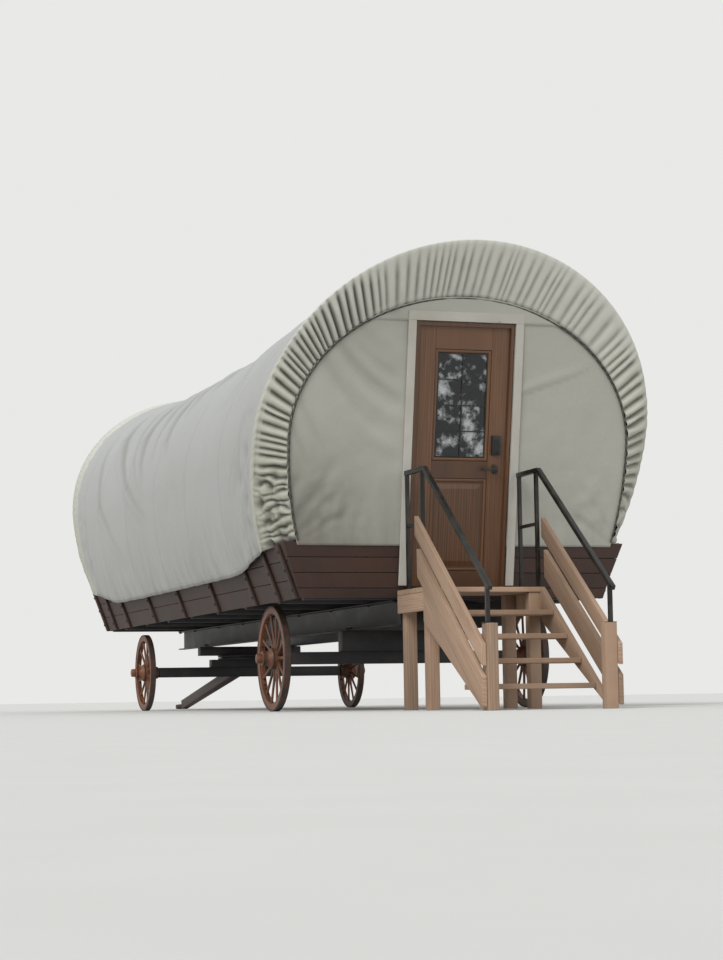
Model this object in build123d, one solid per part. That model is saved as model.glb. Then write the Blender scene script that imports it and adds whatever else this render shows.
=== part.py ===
from build123d import *
from math import atan, atan2, cos, degrees, pi, radians, sin, sqrt, tan
import os

# Covered wagon cabin on four spoked wheels, in millimetres.
# X runs forward to the tongue, Y to the left side, Z up from the ground.

# Box
BOX_HALF_LENGTH = 3800
FLOOR_TOP = 940
FLOOR_THICK = 38
SIDE_BOTTOM = 860
SIDE_TOP = 1290
SIDE_BOTTOM_HALF = 1215
SIDE_TOP_HALF = 1375
FLOOR_SIDE_GAP = 3
FLOOR_HALF_WIDTH = SIDE_BOTTOM_HALF - FLOOR_SIDE_GAP
BOARD_THICK = 30
PLANK_COUNT = 3
PLANK_GROOVE = 6
END_RAKE = 10
BAY = 1267
CORNER_BAY = 560
STAKE_WIDE = 60
STAKE_THICK = 25
STAKE_TOP = 1270

# Canvas
HOOP_SIDE_STEPS = 5
HOOP_TOP_STEPS = 16
CANVAS = 6
CANVAS_GAP = 2
HEM_ROOM = 41
BOW_DEEP = 24
BOW_WIDE = 30
HOOD_REACH = 66
HOOD_RAKE = 26
HOOD_THICK = 8
RING_HALF = 1400
RING_WIDE_Z = 2050
RING_TOP = 3165
RING_HEM = 1300
RING_HEM_HALF = 1305
PANEL_HEM = 1262
HOOD_BOW_BACK = 58
PLEAT_DEEP = 22
PLEATS_PER_FACET = 3
CORD_THICK = 22

# Door
LEAF_WIDE = 762
LEAF_HIGH = 2032
LEAF_THICK = 44
LEAF_OUTER = -16
DOOR_GAP = 6
JAMB_THICK = 18
JAMB_INNER = -110
JAMB_OUTER = 10
GLASS_WIDE = 410
GLASS_LOW = 1015
GLASS_HIGH = 1823
TRIM_WIDE = 66

# Wheels and axles
AXLE_SETBACK = 1300
REAR_AXLE_X = AXLE_SETBACK - BOX_HALF_LENGTH
FRONT_AXLE_X = BOX_HALF_LENGTH - AXLE_SETBACK
REAR_SPOKE_COUNT = 14
FRONT_SPOKE_COUNT = 12
REAR_RADIUS = 430
FRONT_RADIUS = 390
WHEEL_Y = 1110
TYRE_THICK = 12
TYRE_WIDE = 56
FELLOE_DEEP = 52
HUB_RADIUS = 85
SPINDLE_RADIUS = 30
RUNNING_FIT = 0.05
AXLE_GAP = 6

# Frame
RAIL_Y = 450
RAIL_WIDE = 70
RAIL_BOTTOM = 652
RAIL_TOP = 852
RAIL_WEB = 8
RAIL_FLANGE = 12
RAIL_SETBACK = 100
CROSS_WIDE = 60
CROSS_SETBACK = 6
WHEEL_CROSS = 520
BOLSTER_HALF = 540
PEDESTAL_HALF = 420
AXLE_DEEP = 100
KINGPIN_RADIUS = 20
PLATE_TOP = 560
PLATE_GAP = 6
PLATE_THICK = 18
PLATE_RADIUS = 330
PEDESTAL_WIDE = 120
PIN_SHARE = 0.7

# Tongue
TONGUE_REACH = 1960
TONGUE_TIP = BOX_HALF_LENGTH + TONGUE_REACH
HOUND_LENGTH = 640
TONGUE_PIVOT_X = FRONT_AXLE_X + HOUND_LENGTH
TONGUE_PIVOT_Z = FRONT_RADIUS
EYE_RADIUS = 66
EYE_BORE = 38
EYE_THICK = 40
PIN_RADIUS = 16

# Stairs
STAIR_HALF = 490
LANDING = 600
LANDING_TOP = 915
STEP_COUNT = 4
STEP_GOING = 250
STAIR_BOARD = 38
STAIR_GAP = 40
LANDING_PLANK_COUNT = 4
TREAD_PLANK_COUNT = 2
STAIR_PLANK_GAP = 5
NEWEL = 88
NEWEL_TOP = 600
HANDRAIL = 34
HANDRAIL_HIGH = 890
HANDRAIL_OVERHANG = 110
HANDRAIL_POST = 28

os.makedirs("parts", exist_ok=True)


def save(name, shape):
    export_step(shape, f"parts/{name}.step")


def block(x0, x1, y0, y1, z0, z1):
    """A plain block between two corners."""
    size = Box(x1 - x0, y1 - y0, z1 - z0)
    return Pos((x0 + x1) / 2, (y0 + y1) / 2, (z0 + z1) / 2) * size


def outline(points):
    """A flat face inside a closed line of straight edges."""
    return make_face(Polyline(*points, close=True))


def fuse(pieces):
    """One solid or group from a list of pieces."""
    whole = pieces[0]
    for piece in pieces[1:]:
        whole = whole + piece
    return whole


def both_sides(shape):
    """The piece and its mirror image on the right side of the wagon."""
    return shape + mirror(shape, about=Plane.XZ)


def end_x(z):
    """Distance from the middle of the wagon to the raked end plane at a height."""
    return BOX_HALF_LENGTH + tan(radians(END_RAKE)) * (z - FLOOR_TOP)


def side_outer(z):
    """Outer face of the side boards at a height."""
    share = (z - SIDE_BOTTOM) / (SIDE_TOP - SIDE_BOTTOM)
    return SIDE_BOTTOM_HALF + BOARD_THICK + share * (SIDE_TOP_HALF - SIDE_BOTTOM_HALF)


def hem_half_at(z):
    """Half width of the cover where its hem hangs just outside the stakes."""
    return side_outer(z) + STAKE_THICK + HEM_ROOM


def quad_face(x0, x1, y0, y1, z):
    """A level rectangle used as one end of a tapering board."""
    return outline([(x0, y0, z), (x1, y0, z), (x1, y1, z), (x0, y1, z)])


# Horseshoe curve shared by bows, canvas and the rings at both ends.
def hoop(half, wide_z, top_z, hem_z, hem_half):
    """Points (y, z) from the left hem over the ridge to the right hem."""
    drop = (wide_z - hem_z) / sqrt(1 - (hem_half / half) ** 2)
    left = []
    for step in range(HOOP_SIDE_STEPS):
        z = hem_z + (wide_z - hem_z) * step / HOOP_SIDE_STEPS
        left.append((half * sqrt(1 - ((wide_z - z) / drop) ** 2), z))
    top = []
    for step in range(HOOP_TOP_STEPS + 1):
        turn = pi * step / HOOP_TOP_STEPS
        top.append((half * cos(turn), wide_z + (top_z - wide_z) * sin(turn)))
    right = [(-y, z) for y, z in reversed(left)]
    return left + top + right


def place_hoop(points, mid_x, rake, wide_z):
    """Hoop points in space, leaning back by the rake in degrees above the widest height."""
    lean = tan(radians(rake))
    return [(mid_x - lean * (z - wide_z), y, z) for y, z in points]


# Cover stations from the rear hood to the middle, then mirrored to the front hood.
# columns: x at widest height, rake, half width, widest height, ridge, hem height
HOOD_MID_X = BOX_HALF_LENGTH + HOOD_REACH
REAR_STATIONS = [
    (-HOOD_MID_X, HOOD_RAKE, 1605, 2080, 3525, 1240),
    (-HOOD_MID_X + CORNER_BAY, 15, 1592, 2040, 3452, 1190),
    (-2 * BAY, 4, 1578, 1990, 3378, 1110),
    (-BAY, 0, 1570, 1955, 3338, 1100),
]
MIDDLE_STATION = (0, 0, 1568, 1945, 3325, 1100)
FRONT_STATIONS = [(-x, -rake, *rest) for x, rake, *rest in reversed(REAR_STATIONS)]
STATIONS = REAR_STATIONS + [MIDDLE_STATION] + FRONT_STATIONS


def station_points(station, inset):
    """Hoop of a cover station drawn inward by an inset."""
    mid_x, rake, half, wide_z, top_z, hem_z = station
    points = hoop(half - inset, wide_z, top_z - inset, hem_z, hem_half_at(hem_z) - inset)
    return place_hoop(points, mid_x, rake, wide_z)


def band(outer, inner):
    """A flat face between two open curves that run the same way."""
    return outline(outer + inner[::-1])


def folded_strip(edge, fold):
    """Flat triangles between two edges of the cloth that have as many points."""
    strip = []
    for a, b, c, d in zip(edge[:-1], edge[1:], fold[1:], fold[:-1]):
        strip.append(outline([a, b, c]))
        strip.append(outline([a, c, d]))
    return strip


outer_rows = [station_points(station, 0) for station in STATIONS]
inner_rows = [station_points(station, CANVAS) for station in STATIONS]
cover_faces = [band(outer_rows[0], inner_rows[0]), band(outer_rows[-1], inner_rows[-1])]
for rows in (outer_rows, inner_rows):
    for edge, fold in zip(rows[:-1], rows[1:]):
        cover_faces = cover_faces + folded_strip(edge, fold)
for hem in (0, -1):
    outer_hem = [row[hem] for row in outer_rows]
    inner_hem = [row[hem] for row in inner_rows]
    cover_faces = cover_faces + folded_strip(outer_hem, inner_hem)
save("cover", Solid(Shell(cover_faces)))

# Bent bows under the cover, those at the hoods set back behind the canvas edge
HOOD_BOW_INSET = 2
BOW_LEAN_SHARE = 0.75
bow_pieces = []
for mid_x, rake, half, wide_z, top_z, hem_z in STATIONS:
    lean_room = BOW_LEAN_SHARE * BOW_WIDE * sin(radians(abs(rake)))
    inset = CANVAS + CANVAS_GAP + lean_room
    if abs(rake) == HOOD_RAKE:
        mid_x = mid_x - HOOD_BOW_BACK * (1 if mid_x > 0 else -1)
        inset = inset + HOOD_BOW_INSET
    bow_station = (mid_x, rake, half, wide_z, top_z, hem_z)
    bow_face = band(station_points(bow_station, inset), station_points(bow_station, inset + BOW_DEEP))
    bow_pieces.append(extrude(bow_face, amount=BOW_WIDE / 2, both=True))
save("bows", Compound(children=bow_pieces))

# Raked end plane with local X to the right side, local Y up and local Z outward
RAKE_COS = cos(radians(END_RAKE))
RAKE_SIN = sin(radians(END_RAKE))
REAR_FOOT = (-BOX_HALF_LENGTH, 0, FLOOR_TOP)
REAR_OUT = (-RAKE_COS, 0, -RAKE_SIN)
REAR_PLANE = Plane(origin=REAR_FOOT, x_dir=(0, -1, 0), z_dir=REAR_OUT)


def rear_block(x0, x1, y0, y1, z0, z1):
    """A block measured in the raked plane of the rear end."""
    return REAR_PLANE.location * block(x0, x1, y0, y1, z0, z1)


def up_rake(z):
    """Distance up the raked plane for a height above the ground."""
    return (z - FLOOR_TOP) / RAKE_COS


def ring_in_plane(inset, lift):
    """The ring in the raked plane, drawn in by an inset and standing out by a lift."""
    points = hoop(RING_HALF - inset, RING_WIDE_Z, RING_TOP - inset, RING_HEM, RING_HEM_HALF - inset)
    local = [(-y, up_rake(z), lift) for y, z in points]
    return [REAR_PLANE.from_local_coords(point) for point in local]


def half_at(half, wide_z, hem_z, hem_half, z):
    """Half width of a hoop at a height between its hem and its widest point."""
    drop = (wide_z - hem_z) / sqrt(1 - (hem_half / half) ** 2)
    return half * sqrt(1 - ((wide_z - z) / drop) ** 2)


# End canvases in the raked planes
PANEL_LIFT = 2
PANEL_TOP_LIFT = PANEL_LIFT + CANVAS
PANEL_HEM_SHORT = 8
PANEL_HEM_HALF = RING_HEM_HALF - PANEL_HEM_SHORT
panel_hem = []
for side in (1, -1):
    panel_hem.append(REAR_PLANE.from_local_coords((side * PANEL_HEM_HALF, up_rake(PANEL_HEM), PANEL_LIFT)))
panel_outline = outline(ring_in_plane(0, PANEL_LIFT) + panel_hem)
panel = extrude(panel_outline, amount=CANVAS, dir=REAR_OUT)
JAMB_HALF = LEAF_WIDE / 2 + DOOR_GAP + JAMB_THICK
HEAD_TOP = DOOR_GAP + LEAF_HIGH + DOOR_GAP + JAMB_THICK
DOORWAY_GAP = 2
DOORWAY_DEEP = 200
doorway = rear_block(-JAMB_HALF - DOORWAY_GAP, JAMB_HALF + DOORWAY_GAP, 0, HEAD_TOP + DOORWAY_GAP,
                     -DOORWAY_DEEP, DOORWAY_DEEP)
save("rear_canvas", panel - doorway)
save("front_canvas", mirror(panel, about=Plane.YZ))


def between(points, parts):
    """The same line with each of its straight runs divided into equal parts."""
    fine = []
    for start, end in zip(points[:-1], points[1:]):
        for step in range(parts):
            share = step / parts
            fine.append(tuple(a + share * (b - a) for a, b in zip(start, end)))
    return fine + [tuple(points[-1])]


# Gathered hoods from the outer bows in to the rings, their pleats deepening towards the ring
HOOD_RING_LIFT = PANEL_TOP_LIFT + 5
end_x_mid, end_rake, end_half, end_wide, end_top, end_hem = STATIONS[0]
hood_inset = CANVAS + 1
hood_half = end_half - hood_inset
hood_top = end_top - hood_inset
hood_hem_half = half_at(end_half, end_wide, end_hem, hem_half_at(end_hem), RING_HEM) - hood_inset
hood_curve = hoop(hood_half, end_wide, hood_top, RING_HEM, hood_hem_half)
hood_outer = between(place_hoop(hood_curve, end_x_mid, end_rake, end_wide), PLEATS_PER_FACET)
hood_inner = between([tuple(point) for point in ring_in_plane(0, HOOD_RING_LIFT)], PLEATS_PER_FACET)
folded_inner = [(x - PLEAT_DEEP * (count % 2), y, z) for count, (x, y, z) in enumerate(hood_inner)]


def set_out(points):
    """The outward side of the cloth, one thickness beyond the inward side."""
    return [(x - HOOD_THICK, y, z) for x, y, z in points]


hood_back_outer = set_out(hood_outer)
hood_back_inner = set_out(folded_inner)
hood_faces = folded_strip(hood_outer, folded_inner) + folded_strip(hood_back_outer, hood_back_inner)
hood_faces = hood_faces + folded_strip(hood_outer, hood_back_outer)
hood_faces = hood_faces + folded_strip(folded_inner, hood_back_inner)
for end in (0, -1):
    corners = [hood_outer[end], folded_inner[end], hood_back_inner[end], hood_back_outer[end]]
    hood_faces.append(outline(corners))
hood = Solid(Shell(hood_faces))
save("hood_rear", hood)
save("hood_front", mirror(hood, about=Plane.YZ))

# Drawcords around the inner edge of both hoods
CORD_INSET = 4
cord_lift = PANEL_TOP_LIFT + 2
cord_face = band(ring_in_plane(CORD_INSET, cord_lift), ring_in_plane(CORD_INSET + CORD_THICK, cord_lift))
cord = extrude(cord_face, amount=CORD_THICK, dir=REAR_OUT)
save("drawcords", Compound(children=[cord, mirror(cord, about=Plane.YZ)]))

# Flared side boards of three planks each, their joints showing as grooves
plank_high = (SIDE_TOP - SIDE_BOTTOM) / PLANK_COUNT
plank_joints = [SIDE_BOTTOM + plank_high * count for count in range(1, PLANK_COUNT)]
groove_half = PLANK_GROOVE / 2
past_box = 2 * BOX_HALF_LENGTH
low_x = end_x(SIDE_BOTTOM) - BOARD_THICK - 1
top_x = end_x(SIDE_TOP) - BOARD_THICK - 1
side_left = loft([
    quad_face(-low_x, low_x, SIDE_BOTTOM_HALF, SIDE_BOTTOM_HALF + BOARD_THICK, SIDE_BOTTOM),
    quad_face(-top_x, top_x, SIDE_TOP_HALF, SIDE_TOP_HALF + BOARD_THICK, SIDE_TOP),
], ruled=True)
for z in plank_joints:
    groove_y = side_outer(z)
    side_left = side_left - block(-past_box, past_box, groove_y - PLANK_GROOVE, groove_y + PLANK_GROOVE,
                                  z - groove_half, z + groove_half)
save("side_left", side_left)
save("side_right", mirror(side_left, about=Plane.XZ))


# Stakes outside the side boards, at the bows and near the corners
STAKE_END = 80
right_stakes = [BOX_HALF_LENGTH - STAKE_END, BOX_HALF_LENGTH - CORNER_BAY, 2 * BAY, BAY]
stake_pieces = []
for x in [-place for place in right_stakes] + [0] + right_stakes:
    low = side_outer(SIDE_BOTTOM) + 1
    high = side_outer(STAKE_TOP) + 1
    stake_pieces.append(loft([
        quad_face(x - STAKE_WIDE / 2, x + STAKE_WIDE / 2, low, low + STAKE_THICK, SIDE_BOTTOM),
        quad_face(x - STAKE_WIDE / 2, x + STAKE_WIDE / 2, high, high + STAKE_THICK, STAKE_TOP),
    ], ruled=True))
stakes_left = Compound(children=stake_pieces)
save("stakes_left", stakes_left)
save("stakes_right", mirror(stakes_left, about=Plane.XZ))

# End boards below the end canvas
end_low = end_x(SIDE_BOTTOM)
end_high = end_x(SIDE_TOP)
low_half = side_outer(SIDE_BOTTOM)
high_half = side_outer(SIDE_TOP)
end_front = loft([
    quad_face(end_low - BOARD_THICK, end_low, -low_half, low_half, SIDE_BOTTOM),
    quad_face(end_high - BOARD_THICK, end_high, -high_half, high_half, SIDE_TOP),
], ruled=True)
for z in plank_joints:
    groove_x = end_x(z)
    end_front = end_front - block(groove_x - PLANK_GROOVE, groove_x + PLANK_GROOVE, -past_box, past_box,
                                  z - groove_half, z + groove_half)
save("end_front", end_front)
end_rear = mirror(end_front, about=Plane.YZ) - doorway
save("end_rear", end_rear)

# Floor boards on two channel rails and cross members
FLOOR_END_GAP = 10
floor_under = FLOOR_TOP - FLOOR_THICK
floor_end = end_x(floor_under) - BOARD_THICK - FLOOR_END_GAP
floor = block(-floor_end, floor_end, -FLOOR_HALF_WIDTH, FLOOR_HALF_WIDTH, floor_under, FLOOR_TOP)
save("floor", floor)
rail_half = BOX_HALF_LENGTH - RAIL_SETBACK
rail_inner = RAIL_Y - RAIL_WIDE / 2
rail_outer = RAIL_Y + RAIL_WIDE / 2
channel = block(-rail_half, rail_half, rail_inner, rail_outer, RAIL_BOTTOM, RAIL_TOP)
channel = channel - block(-2 * rail_half, 2 * rail_half, rail_inner + RAIL_WEB, rail_outer + RAIL_WIDE,
                          RAIL_BOTTOM + RAIL_FLANGE, RAIL_TOP - RAIL_FLANGE)
save("frame_rails", both_sides(channel))
cross_half = FLOOR_HALF_WIDTH - CROSS_SETBACK
middle_step = (FRONT_AXLE_X - WHEEL_CROSS) / 2
cross_places = [-rail_half, rail_half, -middle_step, 0, middle_step]
for axle_x in (REAR_AXLE_X, FRONT_AXLE_X):
    cross_places = cross_places + [axle_x - WHEEL_CROSS, axle_x + WHEEL_CROSS]
crosses = []
for x in cross_places:
    low = x - CROSS_WIDE / 2
    crosses.append(block(low, low + CROSS_WIDE, -cross_half, cross_half, RAIL_TOP, floor_under))
save("cross_members", Compound(children=crosses))

# Door frame, sill and pale trims
STOP_DEEP = 13
STOP_LIFT = 10
SILL_HIGH = 27
SILL_OUT = 24
FRAME_LIFT = 0.5
STOP_HEAD_EXTRA = 4
TRIM_GAP = 3
TRIM_LOW = 20
TRIM_THICK = 18
TRIM_HEAD = 75
opening_half = LEAF_WIDE / 2 + DOOR_GAP
opening_top = LEAF_HIGH + 2 * DOOR_GAP
through = 10 * JAMB_THICK
frame_outer = rear_block(-JAMB_HALF, JAMB_HALF, FRAME_LIFT, HEAD_TOP, JAMB_INNER, JAMB_OUTER)
frame_hole = rear_block(-opening_half, opening_half, -through, opening_top,
                        JAMB_INNER - through, -STOP_LIFT)
stop_half = opening_half - STOP_DEEP
stop_top = opening_top - STOP_DEEP - STOP_HEAD_EXTRA
stop_hole = rear_block(-stop_half, stop_half, -through, stop_top, -2 * STOP_LIFT, JAMB_OUTER + through)
sill = rear_block(-JAMB_HALF, JAMB_HALF, -SILL_HIGH, FRAME_LIFT, 1, SILL_OUT)
save("door_frame", Compound(children=[frame_outer - frame_hole - stop_hole, sill]))
trim_inner = JAMB_HALF + TRIM_GAP
trim_outer = trim_inner + TRIM_WIDE
trim_head = HEAD_TOP + TRIM_GAP
trim_top = JAMB_OUTER + TRIM_THICK
door_trim = fuse([
    rear_block(-trim_outer, -trim_inner, TRIM_LOW, trim_head, JAMB_OUTER, trim_top),
    rear_block(trim_inner, trim_outer, TRIM_LOW, trim_head, JAMB_OUTER, trim_top),
    rear_block(-trim_outer, trim_outer, trim_head, trim_head + TRIM_HEAD, JAMB_OUTER, trim_top),
])
save("door_trim", door_trim)

# Door leaf with a raised lower panel, glass, leading and lock
PANEL_HALF = 230
PANEL_LOW = 130
PANEL_HIGH = 850
PANEL_MARGIN = 60
PANEL_SUNK = 10
PANEL_RAISED = 7
GLASS_GAP = 1
GLASS_THICK = 6
LEAD_WIDE = 8
LEAD_ROWS = 4
leaf_face = LEAF_OUTER
leaf_low = DOOR_GAP
leaf_high = DOOR_GAP + LEAF_HIGH
leaf_half = LEAF_WIDE / 2
light_half = GLASS_WIDE / 2
sunk_face = leaf_face - PANEL_SUNK
field_half = PANEL_HALF - PANEL_MARGIN
leaf = rear_block(-leaf_half, leaf_half, leaf_low, leaf_high, leaf_face - LEAF_THICK, leaf_face)
leaf = leaf - rear_block(-light_half, light_half, GLASS_LOW, GLASS_HIGH, leaf_face - 2 * LEAF_THICK, 0)
leaf = leaf - rear_block(-PANEL_HALF, PANEL_HALF, PANEL_LOW, PANEL_HIGH, sunk_face, 0)
leaf = leaf + rear_block(-field_half, field_half, PANEL_LOW + PANEL_MARGIN, PANEL_HIGH - PANEL_MARGIN,
                         sunk_face - 1, sunk_face + PANEL_RAISED)
save("door_leaf", leaf)
glass_half = GLASS_WIDE / 2 - GLASS_GAP
glass_low = GLASS_LOW + GLASS_GAP
glass_high = GLASS_HIGH - GLASS_GAP
glass_face = leaf_face - (LEAF_THICK + GLASS_THICK) / 2 + GLASS_THICK
glass_back = glass_face - GLASS_THICK
save("door_glass", rear_block(-glass_half, glass_half, glass_low, glass_high, glass_back, glass_face))
lead_low = glass_face + 1
lead_high = lead_low + LEAD_WIDE
lead_pitch = (glass_high - glass_low - LEAD_WIDE) / LEAD_ROWS
leading = []
for x in (-glass_half, -LEAD_WIDE / 2, glass_half - LEAD_WIDE):
    leading.append(rear_block(x, x + LEAD_WIDE, glass_low, glass_high, lead_low, lead_high))
for row in range(LEAD_ROWS + 1):
    y = glass_low + row * lead_pitch
    leading.append(rear_block(-glass_half, glass_half, y, y + LEAD_WIDE, lead_low, lead_high))
save("door_leading", fuse(leading))

# Butt hinges on the inward side, their barrels on the door's axis
HINGE_PLACES = (220, 1020, 1820)
HINGE_HIGH = 90
BARREL_RADIUS = 5.5
HINGE_WIDE = 32
HINGE_PLATE = 2.5
hinge_edge = -LEAF_WIDE / 2
leaf_back = leaf_face - LEAF_THICK
barrel_lift = leaf_back - BARREL_RADIUS - 0.5
hinges = []
for y in HINGE_PLACES:
    barrel = Pos(hinge_edge, y, barrel_lift) * Rot(90, 0, 0) * Cylinder(BARREL_RADIUS, HINGE_HIGH)
    plate = rear_block(hinge_edge, hinge_edge + HINGE_WIDE, y - HINGE_HIGH / 2, y + HINGE_HIGH / 2,
                       leaf_back - HINGE_PLATE, leaf_back)
    hinges.append(REAR_PLANE.location * barrel + plate)
save("door_hinges", Compound(children=hinges))

# Keypad lock and lever
LOCK_X = 290
LOCK_Y = 1115
LEVER_Y = 930
LOCK_LIFT = 0.5
LEVER_REACH = 120
lock_face = leaf_face + LOCK_LIFT
# columns: left and right of the lock's middle line, height, half height, nearer and farther lift
LOCK_BLOCKS = [
    (35, 35, LOCK_Y, 75, 0, 24),
    (18, 18, LEVER_Y, 35, 0, 12),
    (8, 8, LEVER_Y, 8, 12, 50),
    (LEVER_REACH, 8, LEVER_Y, 10, 38, 52),
]
lock_pieces = []
for left, right, y, half, near, far in LOCK_BLOCKS:
    lock_pieces.append(rear_block(LOCK_X - left, LOCK_X + right, y - half, y + half,
                                  lock_face + near, lock_face + far))
keypad, rose, neck, lever = lock_pieces
save("door_lock", Compound(children=[keypad, fuse([rose, neck, lever])]))

# Spoked wheels
# columns: name, x, side, radius, spokes
WHEELS = [
    ("rear_left", REAR_AXLE_X, 1, REAR_RADIUS, REAR_SPOKE_COUNT),
    ("rear_right", REAR_AXLE_X, -1, REAR_RADIUS, REAR_SPOKE_COUNT),
    ("front_left", FRONT_AXLE_X, 1, FRONT_RADIUS, FRONT_SPOKE_COUNT),
    ("front_right", FRONT_AXLE_X, -1, FRONT_RADIUS, FRONT_SPOKE_COUNT),
]
HUB_IN = -130
HUB_OUT = 150
HUB_NECK = 62
HUB_TIP = 40
BORE_END = 120
DISH = 18
SPOKE_WIDE = 34
SPOKE_THICK = 26
SPOKE_TAPER = 0.9
SPOKE_IN_FELLOE = 12
FIT_GAP = 1.5
TYRE_FIT = 0.2
FELLOE_STEP = 6


# Half profile of the banded nave, outward positive
# columns: radius, place along the axis
NAVE_PROFILE = [
    (0, HUB_IN), (HUB_NECK, HUB_IN), (HUB_NECK, -60), (HUB_RADIUS, -60), (HUB_RADIUS, 35), (HUB_NECK, 35),
    (HUB_NECK, 105), (HUB_TIP, 105), (HUB_TIP, HUB_OUT), (0, HUB_OUT),
]


def hub_shape():
    """Turned nave with a blind bore, its axis along Y."""
    nave = revolve(outline(NAVE_PROFILE), axis=Axis.Y)
    bore_depth = BORE_END - HUB_IN
    bore = Rot(90, 0, 0) * Cylinder(SPINDLE_RADIUS + RUNNING_FIT, bore_depth)
    return nave - Pos(0, HUB_IN + bore_depth / 2, 0) * bore


def spoked_rim(radius, spokes):
    """Tapered spokes leaning out from the hub to the felloes."""
    felloe_out = radius - TYRE_THICK - TYRE_FIT
    felloe_in = felloe_out - FELLOE_DEEP
    felloe_wide = TYRE_WIDE - FELLOE_STEP
    rim = Rot(90, 0, 0) * (Cylinder(felloe_out, felloe_wide) - Cylinder(felloe_in, 2 * felloe_wide))
    start = HUB_RADIUS + FIT_GAP
    length = felloe_in + SPOKE_IN_FELLOE - start
    spoke = extrude(Rectangle(SPOKE_WIDE, SPOKE_THICK), amount=length, taper=SPOKE_TAPER)
    lean = degrees(atan2(DISH, length))
    spoke = Pos(0, -DISH, start) * Rot(-lean, 0, 0) * spoke
    pieces = [rim]
    for count in range(spokes):
        pieces.append(Rot(0, 360 * (count + 0.5) / spokes, 0) * spoke)
    return fuse(pieces)


for name, x, side, radius, spokes in WHEELS:
    spot = Pos(x, side * WHEEL_Y, radius) * Rot(0, 0, 0 if side > 0 else 180)
    save("hub_" + name, spot * hub_shape())
    save("wheel_" + name, spot * spoked_rim(radius, spokes))
    tyre = Cylinder(radius, TYRE_WIDE) - Cylinder(radius - TYRE_THICK, 2 * TYRE_WIDE)
    save("tyre_" + name, spot * Rot(90, 0, 0) * tyre)


def axle(x, radius):
    """Axle beam with its two spindles."""
    shoulder = WHEEL_Y + HUB_IN - AXLE_GAP
    tip = WHEEL_Y + BORE_END - AXLE_GAP
    half = AXLE_DEEP / 2
    beam = block(x - half, x + half, -shoulder, shoulder, radius - half, radius + half)
    spindle = Pos(x, 0, radius) * Rot(90, 0, 0) * Cylinder(SPINDLE_RADIUS, 2 * tip)
    return beam + spindle


save("rear_axle", axle(REAR_AXLE_X, REAR_RADIUS))
bolster_thick = AXLE_DEEP + 30
save("rear_bolster", block(REAR_AXLE_X - bolster_thick / 2, REAR_AXLE_X + bolster_thick / 2,
                           -BOLSTER_HALF, BOLSTER_HALF, REAR_RADIUS + AXLE_DEEP / 2, RAIL_BOTTOM))

# Steered front gear around the king pin
bolster = block(FRONT_AXLE_X - bolster_thick / 2, FRONT_AXLE_X + bolster_thick / 2,
                -BOLSTER_HALF, BOLSTER_HALF, PLATE_TOP, RAIL_BOTTOM)
plate = Pos(FRONT_AXLE_X, 0, PLATE_TOP - PLATE_THICK / 2) * Cylinder(PLATE_RADIUS, PLATE_THICK)
pin_space = (RAIL_BOTTOM - PLATE_TOP) * PIN_SHARE
pin_hole = Pos(FRONT_AXLE_X, 0, PLATE_TOP) * Cylinder(KINGPIN_RADIUS + RUNNING_FIT, 2 * pin_space)
save("front_bolster", (bolster + plate) - pin_hole)
lower_top = PLATE_TOP - PLATE_THICK - PLATE_GAP
save("front_axle", axle(FRONT_AXLE_X, FRONT_RADIUS))
lower_plate = Pos(FRONT_AXLE_X, 0, lower_top - PLATE_THICK / 2) * Cylinder(PLATE_RADIUS, PLATE_THICK)
pedestal = block(FRONT_AXLE_X - PEDESTAL_WIDE / 2, FRONT_AXLE_X + PEDESTAL_WIDE / 2,
                 -PEDESTAL_HALF, PEDESTAL_HALF, FRONT_RADIUS + AXLE_DEEP / 2, lower_top - PLATE_THICK)
pin_low = lower_top - 1
pin_high = PLATE_TOP + pin_space - AXLE_GAP
king_pin = Pos(FRONT_AXLE_X, 0, (pin_low + pin_high) / 2) * Cylinder(KINGPIN_RADIUS, pin_high - pin_low)
save("turntable", lower_plate + pedestal + king_pin)

# Hounds splay back from the tongue pin to the axle
HOUND_WIDE = 60
HOUND_DEEP = 80
HOUND_REAR_Y = 300
HOUND_FRONT_Y = 92
HOUND_NOSE = 60
TIE_BACK = 240
TIE_HALF = 140
PIN_SHORT = 7
hounds = []
for side in (-1, 1):
    rear_y = side * HOUND_REAR_Y
    front_y = side * HOUND_FRONT_Y
    axle_face = FRONT_AXLE_X + AXLE_DEEP / 2 + 1
    straight = TONGUE_PIVOT_X - 2 * HOUND_NOSE
    nose = TONGUE_PIVOT_X + HOUND_NOSE
    half = HOUND_WIDE / 2
    plan = outline([
        (axle_face, rear_y - half), (axle_face, rear_y + half), (straight, front_y + half),
        (nose, front_y + half), (nose, front_y - half), (straight, front_y - half),
    ])
    hounds.append(extrude(Pos(0, 0, TONGUE_PIVOT_Z - HOUND_DEEP / 2) * plan, amount=HOUND_DEEP))
tie_x = TONGUE_PIVOT_X - TIE_BACK
hounds.append(block(tie_x - HOUND_WIDE / 2, tie_x + HOUND_WIDE / 2, -TIE_HALF, TIE_HALF,
                    TONGUE_PIVOT_Z - HOUND_WIDE / 2, TONGUE_PIVOT_Z + HOUND_WIDE / 2))
pin_half = HOUND_FRONT_Y + HOUND_WIDE / 2 - PIN_SHORT
tongue_pin = Pos(TONGUE_PIVOT_X, 0, TONGUE_PIVOT_Z) * Rot(90, 0, 0) * Cylinder(PIN_RADIUS, 2 * pin_half)
save("hounds", fuse(hounds + [tongue_pin]))

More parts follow.
